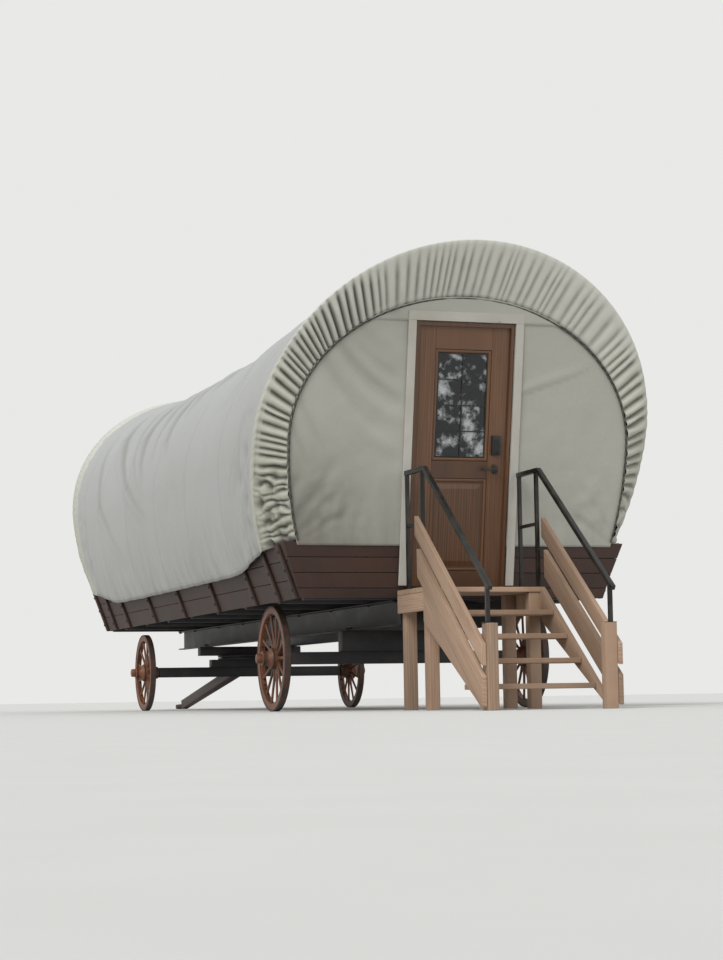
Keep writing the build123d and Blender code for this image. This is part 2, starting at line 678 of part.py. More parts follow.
# Tongue resting with its eye on the ground
POLE_WIDE = 100
POLE_TIP_WIDE = 72
POLE_HEEL = 60
SHANK_LENGTH = 110
SHANK_IN = 16
SHANK_SHARE = 0.8
half_eye = EYE_THICK / 2
tongue_angle = 0
for _ in range(6):
    span = TONGUE_TIP - TONGUE_PIVOT_X - half_eye * sin(tongue_angle)
    fall = TONGUE_PIVOT_Z - half_eye * cos(tongue_angle)
    tongue_angle = atan2(fall, span)
tongue_length = span / cos(tongue_angle) - EYE_RADIUS
tongue_spot = Pos(TONGUE_PIVOT_X, 0, TONGUE_PIVOT_Z) * Rot(0, degrees(tongue_angle), 0)
pole_end = tongue_length - EYE_RADIUS + SHANK_IN - SHANK_LENGTH
pole_plan = outline([
    (-POLE_HEEL, -POLE_WIDE / 2), (pole_end, -POLE_TIP_WIDE / 2), (pole_end, POLE_TIP_WIDE / 2),
    (-POLE_HEEL, POLE_WIDE / 2),
])
pole = extrude(Pos(0, 0, -POLE_WIDE / 2) * pole_plan, amount=POLE_WIDE)
pole = pole - Rot(90, 0, 0) * Cylinder(PIN_RADIUS + RUNNING_FIT, 2 * POLE_WIDE)
save("tongue_pole", tongue_spot * pole)
eye = Pos(tongue_length, 0, 0) * (Cylinder(EYE_RADIUS, EYE_THICK) - Cylinder(EYE_BORE, 2 * EYE_THICK))
half_shank = SHANK_SHARE * half_eye
shank = block(pole_end + 1, pole_end + SHANK_LENGTH, -half_eye, half_eye, -half_shank, half_shank)
save("tongue_eye", tongue_spot * (eye + shank))

# Stairs with landing
stair_top_x = -BOX_HALF_LENGTH - STAIR_GAP
nose_x = stair_top_x - LANDING
rise = LANDING_TOP / (STEP_COUNT + 1)
slope = rise / STEP_GOING
foot_x = nose_x - STEP_COUNT * STEP_GOING
tread_half = STAIR_HALF - STAIR_BOARD - 1
TREAD_LAP = 10


def planks(x0, x1, half, top, count):
    """Boards side by side across the stairs, with a narrow gap between them."""
    pitch = (x1 - x0 + STAIR_PLANK_GAP) / count
    rows = []
    for place in range(count):
        start = x0 + place * pitch
        rows.append(block(start, start + pitch - STAIR_PLANK_GAP, -half, half, top - STAIR_BOARD, top))
    return rows


treads = planks(nose_x, stair_top_x, STAIR_HALF, LANDING_TOP, LANDING_PLANK_COUNT)
for count in range(1, STEP_COUNT + 1):
    front = nose_x - count * STEP_GOING
    back = front + STEP_GOING + TREAD_LAP
    treads = treads + planks(front, back, tread_half, LANDING_TOP - count * rise, TREAD_PLANK_COUNT)
save("stair_treads", Compound(children=treads))


def slope_board(low_offset, high_offset, x_start, x_end, y0, y1):
    """A side board parallel to the stair slope between two heights above the nosing line."""
    corners = [(x_start, low_offset), (x_start, high_offset), (x_end, high_offset), (x_end, low_offset)]
    points = []
    for x, offset in corners:
        points.append((x, 0, max(0, LANDING_TOP + (x - nose_x) * slope + offset)))
    return extrude(Pos(0, y0, 0) * outline(points), amount=y1 - y0, dir=(0, 1, 0))


# Guard boards above the nosing line: how far each one's lower edge and upper edge stand over it
STRINGER_DEEP = 260
LOWER_GUARD = (60, 270)
UPPER_GUARD = (340, 490)
inner_y = STAIR_HALF - STAIR_BOARD
newel_x = foot_x - STEP_GOING + STAIR_GAP
newel_front = newel_x - NEWEL
post_low_y = inner_y - 1 - NEWEL
landing_under = LANDING_TOP - STAIR_BOARD - 1
stringer = slope_board(-STRINGER_DEEP, 0, newel_x + 1, nose_x - 1, inner_y, STAIR_HALF)
landing_beam = block(nose_x, stair_top_x, inner_y, STAIR_HALF, LANDING_TOP - 2 * NEWEL, landing_under)
landing_post = block(nose_x + 12, nose_x + 12 + NEWEL, post_low_y, inner_y - 1, 0, landing_under)
wall_post = block(stair_top_x - 2 - NEWEL, stair_top_x - 2, post_low_y, inner_y - 1, 0, landing_under)
save("stair_stringers", both_sides(Compound(children=[stringer, landing_beam, landing_post, wall_post])))
guard_y = STAIR_HALF + 1
lower_guard = slope_board(*LOWER_GUARD, newel_front, nose_x + 20, guard_y, guard_y + STAIR_BOARD)
upper_guard = slope_board(*UPPER_GUARD, newel_front, nose_x + 60, guard_y, guard_y + STAIR_BOARD)
newel = block(newel_front, newel_x, guard_y - 2 - NEWEL, guard_y - 2, 0, NEWEL_TOP)
save("stair_guards", both_sides(Compound(children=[lower_guard, upper_guard, newel])))

# Black steel handrails, level over the landing and sloping down to the newels
HANDRAIL_WALL_GAP = 60
HANDRAIL_IN = 30
MID_BAR_LOW = 470
MID_BAR_HIGH = 495
bar_y = STAIR_HALF - HANDRAIL_IN
bar_z = LANDING_TOP + HANDRAIL_HIGH
bar_back = -end_x(bar_z) - HANDRAIL_WALL_GAP
bar_turn = nose_x + 10
bar_foot = newel_x - HANDRAIL_OVERHANG + HANDRAIL / 2 * sin(atan(slope))
foot_z = bar_z + (bar_foot - bar_turn) * slope
rail_points = [(bar_back, bar_y, bar_z), (bar_turn, bar_y, bar_z), (bar_foot, bar_y, foot_z)]
bar_pieces = []
for start, end in zip(rail_points[:-1], rail_points[1:]):
    line = Line(start, end)
    bar_pieces.append(sweep(Plane(line @ 0, z_dir=line % 0) * Rectangle(HANDRAIL, HANDRAIL), path=line))
post_back = bar_back - 20
post_turn = nose_x + 60
foot_post = newel_x - NEWEL / 2
half_post = HANDRAIL_POST / 2
# columns: place along the wagon, foot and head heights
POSTS = [
    (post_back, LANDING_TOP + 1, bar_z),
    (post_turn, LANDING_TOP + 1, bar_z),
    (foot_post, NEWEL_TOP + 1, bar_z + (foot_post - bar_turn) * slope),
]
for x, low, high in POSTS:
    bar_pieces.append(block(x - half_post, x + half_post, bar_y - half_post, bar_y + half_post, low, high))
bar_pieces.append(block(post_turn, post_back, bar_y - 10, bar_y + 10, LANDING_TOP + MID_BAR_LOW,
                        LANDING_TOP + MID_BAR_HIGH))
save("handrails", both_sides(fuse(bar_pieces)))
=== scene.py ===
import math
import random
from functools import partial

import bpy
import numpy as np
from mathutils import Matrix, Vector, noise


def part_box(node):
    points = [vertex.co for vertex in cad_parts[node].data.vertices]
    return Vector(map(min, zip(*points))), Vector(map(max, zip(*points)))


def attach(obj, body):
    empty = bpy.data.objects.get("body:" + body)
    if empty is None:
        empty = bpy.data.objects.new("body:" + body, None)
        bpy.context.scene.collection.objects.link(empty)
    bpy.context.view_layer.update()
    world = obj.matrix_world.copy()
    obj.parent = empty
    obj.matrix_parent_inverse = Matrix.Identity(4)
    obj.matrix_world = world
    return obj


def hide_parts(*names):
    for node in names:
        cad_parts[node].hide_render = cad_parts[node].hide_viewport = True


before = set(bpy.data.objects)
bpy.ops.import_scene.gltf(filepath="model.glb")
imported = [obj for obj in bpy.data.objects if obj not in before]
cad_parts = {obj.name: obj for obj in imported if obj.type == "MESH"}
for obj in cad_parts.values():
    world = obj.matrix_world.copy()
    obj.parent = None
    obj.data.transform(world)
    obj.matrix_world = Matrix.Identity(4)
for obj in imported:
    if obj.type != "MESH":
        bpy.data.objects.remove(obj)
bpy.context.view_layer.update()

bl_info = {
    "name": "Covered wagon cabin",
    "version": (1, 0, 0),
    "blender": (4, 5, 0),
    "location": "3D View > Sidebar > Wagon",
    "description": "Canvas, joinery, wheels and running gear of a covered wagon cabin",
    "category": "Add Mesh",
}

# Lengths are in metres, X forward to the tongue, Y to the left side, Z up.
# Both ends of the box lean out by the rake, and the door is in the rear one.
BOX_HALF = 3.8
FLOOR_TOP = 0.94
RAKE = math.radians(10)
JAMB_HALF = 0.405
HEAD_TOP = 2.062

# Ring at the end canvas: half width, widest height, top, hem height, hem half width
RING = (1.400, 2.050, 3.165, 1.300, 1.305)

# Cover stations from the rear hood to the middle, the same as the bows
# columns: x at widest height, rake, half width, widest height, ridge, hem height, hem half width
REAR_STATIONS = [
    (-3.866, 26, 1.605, 2.080, 3.525, 1.240, 1.4524),
    (-3.306, 15, 1.592, 2.040, 3.452, 1.190, 1.4338),
    (-2.534, 4, 1.578, 1.990, 3.378, 1.110, 1.4040),
    (-1.267, 0, 1.570, 1.955, 3.338, 1.100, 1.4003),
]
MIDDLE_STATION = (0, 0, 1.568, 1.945, 3.325, 1.100, 1.4003)
FRONT_STATIONS = [(-x, -rake, *rest) for x, rake, *rest in reversed(REAR_STATIONS)]
STATIONS = np.array(REAR_STATIONS + [MIDDLE_STATION] + FRONT_STATIONS, dtype=float)
BAYS = len(STATIONS) - 1

TIMBER = random.Random(7)


def linear(hex_colour):
    """Linear colour with full alpha from an sRGB hex value."""
    channels = [int(hex_colour[start:start + 2], 16) / 255 for start in (1, 3, 5)]
    return [c / 12.92 if c <= 0.04045 else ((c + 0.055) / 1.055) ** 2.4 for c in channels] + [1.0]


def colour(name, description, hex_colour):
    """A colour that a user can change, shown with its sRGB value as default."""
    return bpy.props.FloatVectorProperty(
        name=name, description=description, default=linear(hex_colour), size=4, min=0, max=1, subtype="COLOR")


def metres(name, description, default, low, high):
    """A length that a user can change, between two limits."""
    return bpy.props.FloatProperty(
        name=name, description=description, default=default, min=low, max=high, unit="LENGTH")


class WagonColours(bpy.types.PropertyGroup):
    """Colours of the wagon's finishes."""

    # Cover, ends and hoods are one cotton duck; their different base tones are painted light and shade: the hoods
    # lighter, the cover a little bluer, the ends warmer
    canvas: colour("Canvas", "Proofed cotton duck of the cover", "#a7a8a5")
    # Painted light: the cover and the hoods are drawn lighter towards the top
    canvas_high: colour("Canvas, bleached", "Cotton duck of the cover near the ridge", "#b9bbb9")
    canvas_end: colour("End canvas", "Sheltered cotton duck of the ends", "#aaaaa1")
    canvas_hood: colour("Hood canvas", "Cotton duck of the hoods at both sides", "#b3b3a6")
    canvas_hood_high: colour("Hood canvas, bleached", "Cotton duck of the hoods at the top", "#d4d5cc")
    canvas_soil: colour("Canvas soil", "Rain streaks and dust low on the canvas", "#77746a")
    # Painted shade: the colour that the folds and hollows of the canvas are darkened towards
    fold_shade_tone: colour("Fold shade", "Painted shade deep in the gathers", "#57544a")
    # The drawcord is drawn dark, partly its own weathered colour and partly painted shade of the gap along the
    # ring
    cord: colour("Drawcord", "Weathered cord in the hood hems", "#3a3733")
    # The box tones are partly the real red-brown stain and partly painted shade: both are drawn darker than the
    # stain
    box_stain_and_shade: colour("Box stain", "Red-brown stain of the box boards", "#432a20")
    box_dark_stain_and_shade: colour("Box stain, dark", "Late wood and weathered stain of the box", "#251812")
    door_stain: colour("Door stain", "Mahogany stain of the door", "#6b482d")
    door_stain_dark: colour("Door stain, dark", "Late wood of the door", "#3a2514")
    wheel_stain: colour("Wheel stain", "Oiled hickory of spokes and felloes", "#7f5035")
    wheel_stain_dark: colour("Wheel stain, dark", "Grain of spokes and felloes", "#4a2d1f")
    stair_wood: colour("Stair wood", "Treated pine of the stairs", "#ad927b")
    stair_wood_dark: colour("Stair wood, dark", "Late wood of the stairs and the floor", "#836955")
    trim: colour("Trim", "Cream paint of the door trims", "#b1afa7")
    floor_wood: colour("Floor", "Underside of the floor boards", "#7d6147")
    frame_black: colour("Frame", "Black enamel of the running gear", "#26262a")
    rail_black: colour("Handrail", "Black powder coat of handrails, lock, hinges and leading", "#0f0f0e")
    iron: colour("Iron", "Worn tyre iron", "#4b4642")


class WagonSizes(bpy.types.PropertyGroup):
    """Sizes of what is sewn, sawn and bolted."""

    canvas_thick: metres("Canvas thickness", "Thickness of the cloth as drawn", 0.003, 0.001, 0.01)
    pleats: bpy.props.IntProperty(
        name="Pleats", description="Gathers around one hood", default=84, min=20, max=160)
    pleat_deep: metres(
        "Pleat depth", "Depth of the deepest gathers, at both sides of a hood", 0.050, 0.002, 0.08)
    bow_sag: metres("Sag between bows", "How far the cloth sinks between the middle bows", 0.012, 0, 0.08)
    swag_deep: metres("Swag depth", "Depth of the long folds that hang between the hoods", 0.037, 0, 0.05)
    plank_gap: metres("Plank gap", "Gap between neighbouring planks", 0.004, 0.001, 0.02)
    edge: metres("Eased edge", "Rounding of sawn edges", 0.003, 0.0005, 0.01)
    bolt: metres("Bolt head", "Half width of a bolt head", 0.012, 0.004, 0.03)


# Materials

def add(tree, kind, inputs=None, stops=None, **settings):
    """Add a shader node with its settings, set or link its inputs, and return it.

    An input that is given a node is linked to the first output that the node has in use.
    """
    node = tree.nodes.new("ShaderNode" + kind)
    for name, value in settings.items():
        setattr(node, name, value)
    for name, value in (inputs or {}).items():
        if isinstance(value, bpy.types.Node):
            value = next(output for output in value.outputs if output.enabled)
        if isinstance(value, bpy.types.NodeSocket):
            tree.links.new(value, node.inputs[name])
        else:
            node.inputs[name].default_value = value
    if stops:
        for element, (place, shade) in zip(node.color_ramp.elements, stops):
            element.position = place
            element.color = shade
    return node


def blank(name, kind="materials"):
    """A new material or world with an empty node tree, and add made ready for that tree."""
    owner = getattr(bpy.data, kind).new(name)
    owner.use_nodes = True
    owner.node_tree.nodes.clear()
    return owner, partial(add, owner.node_tree)


def grey_ramp(low, high):
    """Stops that stretch the values between two places to black and white."""
    return [(low, (0, 0, 0, 1)), (high, (1, 1, 1, 1))]


# Heights between which rain streaks fade upwards, and between which the cloth is painted lighter towards the top
# as painted light
STREAK_LOW, STREAK_HIGH = 1.05, 1.75
TOP_LIGHT_LOW, TOP_LIGHT_HIGH = 2.0, 3.3
# Flat-felled seams 36 mm wide over the bows and 50 mm hems, each with a line of stitches
SEAM_HALF, HEM_DEEP = 0.019, 0.051
FOLD_HALF, STITCH_HALF = 0.003, 0.004
THREADS = 26.0


# Cotton duck, woven and proofed with wax: dull, pale, with rain streaks and dust near the hems, painted light that
# makes it lighter towards the top, and painted shade in its folds
def cotton_duck(node, cloth_tone, lit_high_tone, soil_tone, shade_tone):
    place = node("TexCoord").outputs["Object"]
    cloth = node("UVMap")
    height = node("SeparateXYZ", {0: place}).outputs["Z"]
    low_band = node("MapRange", {
        "Value": height, "From Min": STREAK_LOW, "From Max": STREAK_HIGH, "To Min": 1.0, "To Max": 0.0})
    streak_place = node("Mapping", {"Vector": place, "Scale": (5.0, 5.0, 0.7)})
    streaks = node("TexNoise", {"Vector": streak_place, "Scale": 1.6, "Detail": 5.0, "Roughness": 0.6})
    patches = node("TexNoise", {"Vector": place, "Scale": 0.9, "Detail": 4.0, "Roughness": 0.55})
    streak_mask = node("ValToRGB", {"Fac": streaks}, grey_ramp(0.42, 0.72))
    patch_mask = node("ValToRGB", {"Fac": patches}, grey_ramp(0.35, 0.75))
    low_soil = node("Math", {0: low_band, 1: streak_mask}, operation="MULTIPLY")
    rain_soil = node("Math", {0: low_soil, 1: 0.35}, operation="MULTIPLY")
    some_soil = node("Math", {0: patch_mask, 1: 0.12}, operation="MULTIPLY")
    soil = node("Math", {0: rain_soil, 1: some_soil}, operation="ADD")
    # Painted light: the cloth grows lighter towards the top
    toplit = node("MapRange", {"Value": height, "From Min": TOP_LIGHT_LOW, "From Max": TOP_LIGHT_HIGH})
    bare = node("Mix", {0: toplit, 6: cloth_tone, 7: lit_high_tone}, data_type="RGBA")
    washed = node("Mix", {0: soil, 6: bare, 7: soil_tone}, data_type="RGBA")
    # Painted shade darkens the cloth in its folds and hollows, by an attribute of the mesh
    folds = node("Attribute", attribute_name="fold_depth").outputs["Fac"]
    painted_shade = node("Mix", {0: folds, 6: washed, 7: shade_tone}, data_type="RGBA")
    # Threads are about 1 mm apart, drawn at 6 mm so that the weave can show
    warp = node("TexWave", {
        "Vector": cloth, "Scale": THREADS, "Distortion": 0.6, "Detail": 1.0}, bands_direction="X").outputs["Fac"]
    weft = node("TexWave", {
        "Vector": cloth, "Scale": THREADS, "Distortion": 0.6, "Detail": 1.0}, bands_direction="Y").outputs["Fac"]
    weave = node("Math", {0: warp, 1: weft}, operation="MULTIPLY")
    creases = node("TexNoise", {
        "Vector": place, "Scale": 7.0, "Detail": 6.0, "Roughness": 0.6, "Distortion": 0.8})
    crumple = node("Bump", {"Height": creases, "Strength": 0.35, "Distance": 0.012})
    woven = node("Bump", {"Height": weave, "Strength": 0.25, "Distance": 0.0012, "Normal": crumple})
    from_seam = node("Attribute", attribute_name="from_seam").outputs["Fac"]
    from_edge = node("Attribute", attribute_name="from_edge").outputs["Fac"]
    seam_fold = node("MapRange", {
        "Value": from_seam, "From Min": SEAM_HALF - FOLD_HALF, "From Max": SEAM_HALF + FOLD_HALF,
        "To Min": 1.0, "To Max": 0.0})
    hem_fold = node("MapRange", {
        "Value": from_edge, "From Min": HEM_DEEP - FOLD_HALF, "From Max": HEM_DEEP + FOLD_HALF,
        "To Min": 1.0, "To Max": 0.0})
    doubled = node("Math", {0: seam_fold, 1: hem_fold}, operation="MAXIMUM")
    surface = node("Bump", {"Height": doubled, "Strength": 0.9, "Distance": 0.003, "Normal": woven})
    seam_line = node("Math", {0: from_seam, 1: SEAM_HALF, 2: STITCH_HALF}, operation="COMPARE")
    hem_line = node("Math", {0: from_edge, 1: HEM_DEEP, 2: STITCH_HALF}, operation="COMPARE")
    stitch = node("Math", {0: seam_line, 1: hem_line}, operation="MAXIMUM")
    stitch_share = node("Math", {0: stitch, 1: 0.30}, operation="MULTIPLY")
    tone = node("Mix", {0: stitch_share, 6: painted_shade, 7: soil_tone}, data_type="RGBA")
    return node("BsdfPrincipled", {
        "Base Color": tone, "Roughness": 0.86, "Specular IOR Level": 0.25, "Normal": surface,
        "Sheen Weight": 0.15, "Sheen Roughness": 0.5})


# Sawn and stained timber: dull, with long grain, darker late wood and a tone of its own for each board
def stained_timber(node, light, dark, rough=0.62, coat=0.0):
    along = node("UVMap")
    grain_place = node("Mapping", {"Vector": along, "Scale": (1.3, 26.0, 1.0)})
    grain = node("TexNoise", {
        "Vector": grain_place, "Scale": 1.5, "Detail": 7.0, "Roughness": 0.62, "Distortion": 0.35})
    ring_place = node("Mapping", {"Vector": along, "Scale": (0.35, 9.0, 1.0)})
    rings = node("TexWave", {
        "Vector": ring_place, "Scale": 1.2, "Distortion": 6.0, "Detail": 3.0, "Detail Scale": 1.4},
        bands_direction="Y").outputs["Fac"]
    board_tone = node("TexNoise", {"Vector": along, "Scale": 0.35, "Detail": 1.0})
    grain_mask = node("ValToRGB", {"Fac": grain}, grey_ramp(0.32, 0.72))
    ring_part = node("Math", {0: rings, 1: 0.35}, operation="MULTIPLY")
    grain_part = node("Math", {0: grain_mask, 1: 0.55}, operation="MULTIPLY")
    both = node("Math", {0: ring_part, 1: grain_part}, operation="ADD", use_clamp=True)
    body = node("Mix", {0: both, 6: light, 7: dark}, data_type="RGBA")
    brightness = node("MapRange", {
        "Value": board_tone, "From Min": 0.3, "From Max": 0.7, "To Min": 0.72, "To Max": 1.22})
    tone = node("HueSaturation", {"Color": body, "Value": brightness})
    surface = node("Bump", {"Height": grain, "Strength": 0.3, "Distance": 0.002})
    return node("BsdfPrincipled", {
        "Base Color": tone, "Roughness": rough, "Normal": surface, "Coat Weight": coat, "Coat Roughness": 0.3})


# Enamel or powder coat on steel: even, slightly glossy, with fine orange peel and dust
def coated_steel(node, coat_tone, rough):
    place = node("TexCoord").outputs["Object"]
    dust = node("TexNoise", {"Vector": place, "Scale": 6.0, "Detail": 5.0, "Roughness": 0.6})
    dust_mask = node("ValToRGB", {"Fac": dust}, grey_ramp(0.45, 0.8))
    dust_share = node("Math", {0: dust_mask, 1: 0.35}, operation="MULTIPLY")
    tone = node("Mix", {0: dust_share, 6: coat_tone, 7: linear("#5a544b")}, data_type="RGBA")
    peel = node("TexNoise", {"Vector": place, "Scale": 260.0, "Detail": 2.0})
    surface = node("Bump", {"Height": peel, "Strength": 0.12, "Distance": 0.0006})
    roughness = node("MapRange", {"Value": dust, "To Min": rough - 0.08, "To Max": rough + 0.25})
    return node("BsdfPrincipled", {"Base Color": tone, "Roughness": roughness, "Normal": surface})


# Wrought iron worn by the road: dark, half rusted, brighter where it rubs
def worn_iron(node, iron_tone):
    place = node("TexCoord").outputs["Object"]
    rust = node("TexNoise", {"Vector": place, "Scale": 14.0, "Detail": 8.0, "Roughness": 0.65})
    rust_mask = node("ValToRGB", {"Fac": rust}, grey_ramp(0.4, 0.66))
    tone = node("Mix", {0: rust_mask, 6: iron_tone, 7: linear("#57392a")}, data_type="RGBA")
    metal = node("MapRange", {"Value": rust_mask, "To Min": 0.75, "To Max": 0.1})
    surface = node("Bump", {"Height": rust, "Strength": 0.3, "Distance": 0.0015})
    return node("BsdfPrincipled", {"Base Color": tone, "Roughness": 0.58, "Metallic": metal, "Normal": surface})


# Exterior gloss paint on pine, dulled and a little soiled
def house_paint(node, paint_tone):
    place = node("TexCoord").outputs["Object"]
    soil = node("TexNoise", {"Vector": place, "Scale": 3.5, "Detail": 6.0, "Roughness": 0.6})
    soil_mask = node("ValToRGB", {"Fac": soil}, grey_ramp(0.4, 0.8))
    soil_share = node("Math", {0: soil_mask, 1: 0.45}, operation="MULTIPLY")
    tone = node("Mix", {0: soil_share, 6: paint_tone, 7: linear("#8f8471")}, data_type="RGBA")
    brush_place = node("Mapping", {"Vector": place, "Scale": (60.0, 60.0, 3.0)})
    brush = node("TexNoise", {"Vector": brush_place, "Scale": 2.0, "Detail": 2.0})
    surface = node("Bump", {"Height": brush, "Strength": 0.15, "Distance": 0.001})
    return node("BsdfPrincipled", {"Base Color": tone, "Roughness": 0.5, "Normal": surface})


# Float glass before an unlit room: dark, clear and sharply reflecting, with painted reflections in pale patches
def float_glass(node):
    place = node("TexCoord").outputs["Object"]
    waves = node("TexNoise", {"Vector": place, "Scale": 9.0, "Detail": 1.0})
    surface = node("Bump", {"Height": waves, "Strength": 0.08, "Distance": 0.004})
    # Painted reflections: pale patches about 120 mm across, between clear dark pieces
    reflection_noise = node("TexNoise", {"Vector": place, "Scale": 8.0, "Detail": 5.0, "Roughness": 0.62})
    painted_reflections = node("ValToRGB", {"Fac": reflection_noise}, grey_ramp(0.48, 0.62))
    tone = node("Mix", {0: painted_reflections, 6: linear("#26292b"), 7: linear("#a9adae")}, data_type="RGBA")
    clear = node("MapRange", {"Value": painted_reflections, "To Min": 0.35, "To Max": 0.0})
    return node("BsdfPrincipled", {
        "Base Color": tone, "Roughness": 0.05, "Transmission Weight": clear, "IOR": 1.5, "Normal": surface})


# Laid cord of cotton, grey with weather and darkened as painted shade of the gap along the ring, its twist drawn
# on the strands of the mesh
def laid_cord(node, cord_tone):
    along = node("UVMap")
    twist = node("TexWave", {
        "Vector": along, "Scale": 9.0, "Distortion": 0.4}, bands_direction="DIAGONAL").outputs["Fac"]
    tone = node("Mix", {0: twist, 6: cord_tone, 7: linear("#595449")}, data_type="RGBA")
    surface = node("Bump", {"Height": twist, "Strength": 0.6, "Distance": 0.003})
    return node("BsdfPrincipled", {"Base Color": tone, "Roughness": 0.9, "Normal": surface})


# Seamless backdrop paper: matt and pale
def backdrop_paper(node):
    place = node("TexCoord").outputs["Object"]
    fibre = node("TexNoise", {"Vector": place, "Scale": 3.0, "Detail": 3.0})
    tone = node("Mix", {0: fibre, 6: linear("#dcdcda"), 7: linear("#d6d6d3")}, data_type="RGBA")
    return node("BsdfPrincipled", {"Base Color": tone, "Roughness": 0.9})


# How each finish is made: function, name of the material, its colours and what else it takes
FINISHES = {
    "canvas": (cotton_duck, "cotton_duck_cover", ("canvas", "canvas_high", "canvas_soil", "fold_shade_tone"), ()),
    "canvas_end": (cotton_duck, "cotton_duck_ends", ("canvas_end", "canvas_end", "canvas_soil", "fold_shade_tone"), ()),
    "canvas_hood": (
        cotton_duck, "cotton_duck_hoods", ("canvas_hood", "canvas_hood_high", "canvas_soil", "fold_shade_tone"), ()),
    "box": (stained_timber, "stained_box_boards", ("box_stain_and_shade", "box_dark_stain_and_shade"), ()),
    "door": (stained_timber, "stained_mahogany", ("door_stain", "door_stain_dark"), (0.42, 0.15)),
    "wheel": (stained_timber, "oiled_hickory", ("wheel_stain", "wheel_stain_dark"), (0.5,)),
    "stair": (stained_timber, "treated_pine", ("stair_wood", "stair_wood_dark"), (0.75,)),
    "floor": (stained_timber, "floor_pine", ("floor_wood", "stair_wood_dark"), (0.8,)),
    "frame": (coated_steel, "enamelled_steel", ("frame_black",), (0.45,)),
    "rail": (coated_steel, "powder_coated_steel", ("rail_black",), (0.26,)),
    "iron": (worn_iron, "worn_iron", ("iron",), ()),
    "trim": (house_paint, "house_paint", ("trim",), ()),
    "glass": (float_glass, "float_glass_pane", (), ()),
    "cord": (laid_cord, "laid_cord", ("cord",), ()),
    "paper": (backdrop_paper, "backdrop_paper", (), ()),
}
MADE = {}


def finish(name):
    """The named finish, made the first time that it is asked for."""
    if name not in MADE:
        make, title, colours, rest = FINISHES[name]
        tones = [list(getattr(bpy.context.scene.wagon_colours, tone)) for tone in colours]
        MADE[name], node = blank(title)
        node("OutputMaterial", {"Surface": make(node, *tones, *rest)})
    return MADE[name]


# Modelling

# Length of the timber that the boards' grain is taken from
TIMBER_LONG = 40
# Distances at which doubled points are merged, in a plain solid and in a turned shape
MERGE_SOLID, MERGE_TURNED = 0.00002, 0.00005
# Washer and head of a bolt, measured in half widths of its head
WASHER_RADIUS, WASHER_THICK = 1.75, 0.3
HEAD_RADIUS, HEAD_THICK, HEAD_EASE = 1.15, 0.8, 0.12


def only(piece):
    """Leave one object selected and active."""
    bpy.ops.object.select_all(action="DESELECT")
    piece.select_set(True)
    bpy.context.view_layer.objects.active = piece


def fit(piece, name, body, finish_name, replaces=()):
    """Name a finished piece, give it its finish and body, and hide the solids that it stands for."""
    piece.name = name
    piece.data.name = name
    piece.data.materials.clear()
    piece.data.materials.append(finish(finish_name))
    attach(piece, body)
    if replaces:
        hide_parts(*replaces)


def primitive(shape, **settings):
    """A new primitive mesh, with its place and size in the mesh."""
    bpy.ops.object.select_all(action="DESELECT")
    getattr(bpy.ops.mesh, "primitive_" + shape + "_add")(**settings)
    bpy.ops.object.transform_apply(location=True, rotation=True, scale=True)
    return bpy.context.object


def smooth_below(piece, degrees):
    """Shade a piece smooth, apart from edges sharper than an angle."""
    only(piece)
    bpy.ops.object.shade_smooth_by_angle(angle=math.radians(degrees))


def apply_modifier(piece, kind, **settings):
    """Put a modifier on a piece and apply it."""
    only(piece)
    modifier = piece.modifiers.new(kind.title(), kind)
    for name, value in settings.items():
        setattr(modifier, name, value)
    bpy.ops.object.modifier_apply(modifier=modifier.name)


def in_edit(piece, work):
    """Run edit-mode work with all of a piece selected."""
    only(piece)
    bpy.ops.object.mode_set(mode="EDIT")
    bpy.ops.mesh.select_all(action="SELECT")
    work()
    bpy.ops.object.mode_set(mode="OBJECT")


def bevel_all(piece, width, segments):
    """Bevel every edge of a piece."""
    in_edit(piece, lambda: bpy.ops.mesh.bevel(offset=width, segments=segments, affect="EDGES"))


def with_faces(piece, chosen, work):
    """Run edit-mode work with the faces of a piece that a rule chooses."""
    only(piece)
    bpy.ops.object.mode_set(mode="EDIT")
    bpy.ops.mesh.select_mode(type="FACE")
    bpy.ops.mesh.select_all(action="DESELECT")
    bpy.ops.object.mode_set(mode="OBJECT")
    for face in piece.data.polygons:
        face.select = bool(chosen(face))
    bpy.ops.object.mode_set(mode="EDIT")
    work()
    bpy.ops.mesh.select_mode(type="VERT")
    bpy.ops.object.mode_set(mode="OBJECT")


def join(pieces):
    """Join finished pieces into one object."""
    bpy.ops.object.select_all(action="DESELECT")
    for piece in pieces:
        piece.select_set(True)
    bpy.context.view_layer.objects.active = pieces[0]
    if len(pieces) > 1:
        bpy.ops.object.join()
    return bpy.context.view_layer.objects.active


def twin(piece, matrix):
    """A copy with its own mesh, moved by a matrix."""
    copied = piece.copy()
    copied.data = piece.data.copy()
    bpy.context.scene.collection.objects.link(copied)
    copied.data.transform(matrix)
    if matrix.determinant() < 0:
        copied.data.flip_normals()
    return copied


def spread(pattern, matrices):
    """Copies of a pattern at each matrix, joined, with the pattern itself removed."""
    copies = [twin(pattern, matrix) for matrix in matrices]
    bpy.data.objects.remove(pattern)
    return join(copies)


def lay_grain(piece, direction):
    """Grain coordinates in metres along a direction, from a place of its own in the timber."""
    mesh = piece.data
    layer = mesh.uv_layers.active or mesh.uv_layers.new(name="UVMap")
    along = Vector(direction).normalized()
    side = along.orthogonal().normalized()
    third = along.cross(side)
    start, ring = TIMBER.uniform(0, TIMBER_LONG), TIMBER.uniform(0, TIMBER_LONG)
    for loop in mesh.loops:
        point = mesh.vertices[loop.vertex_index].co
        layer.data[loop.index].uv = (point.dot(along) + start, point.dot(side) + point.dot(third) + ring)


def longest_edge(mesh):
    """Direction of a mesh's longest edge."""
    points = mesh.vertices
    steps = [points[edge.vertices[1]].co - points[edge.vertices[0]].co for edge in mesh.edges]
    return max(steps, key=lambda step: step.length)


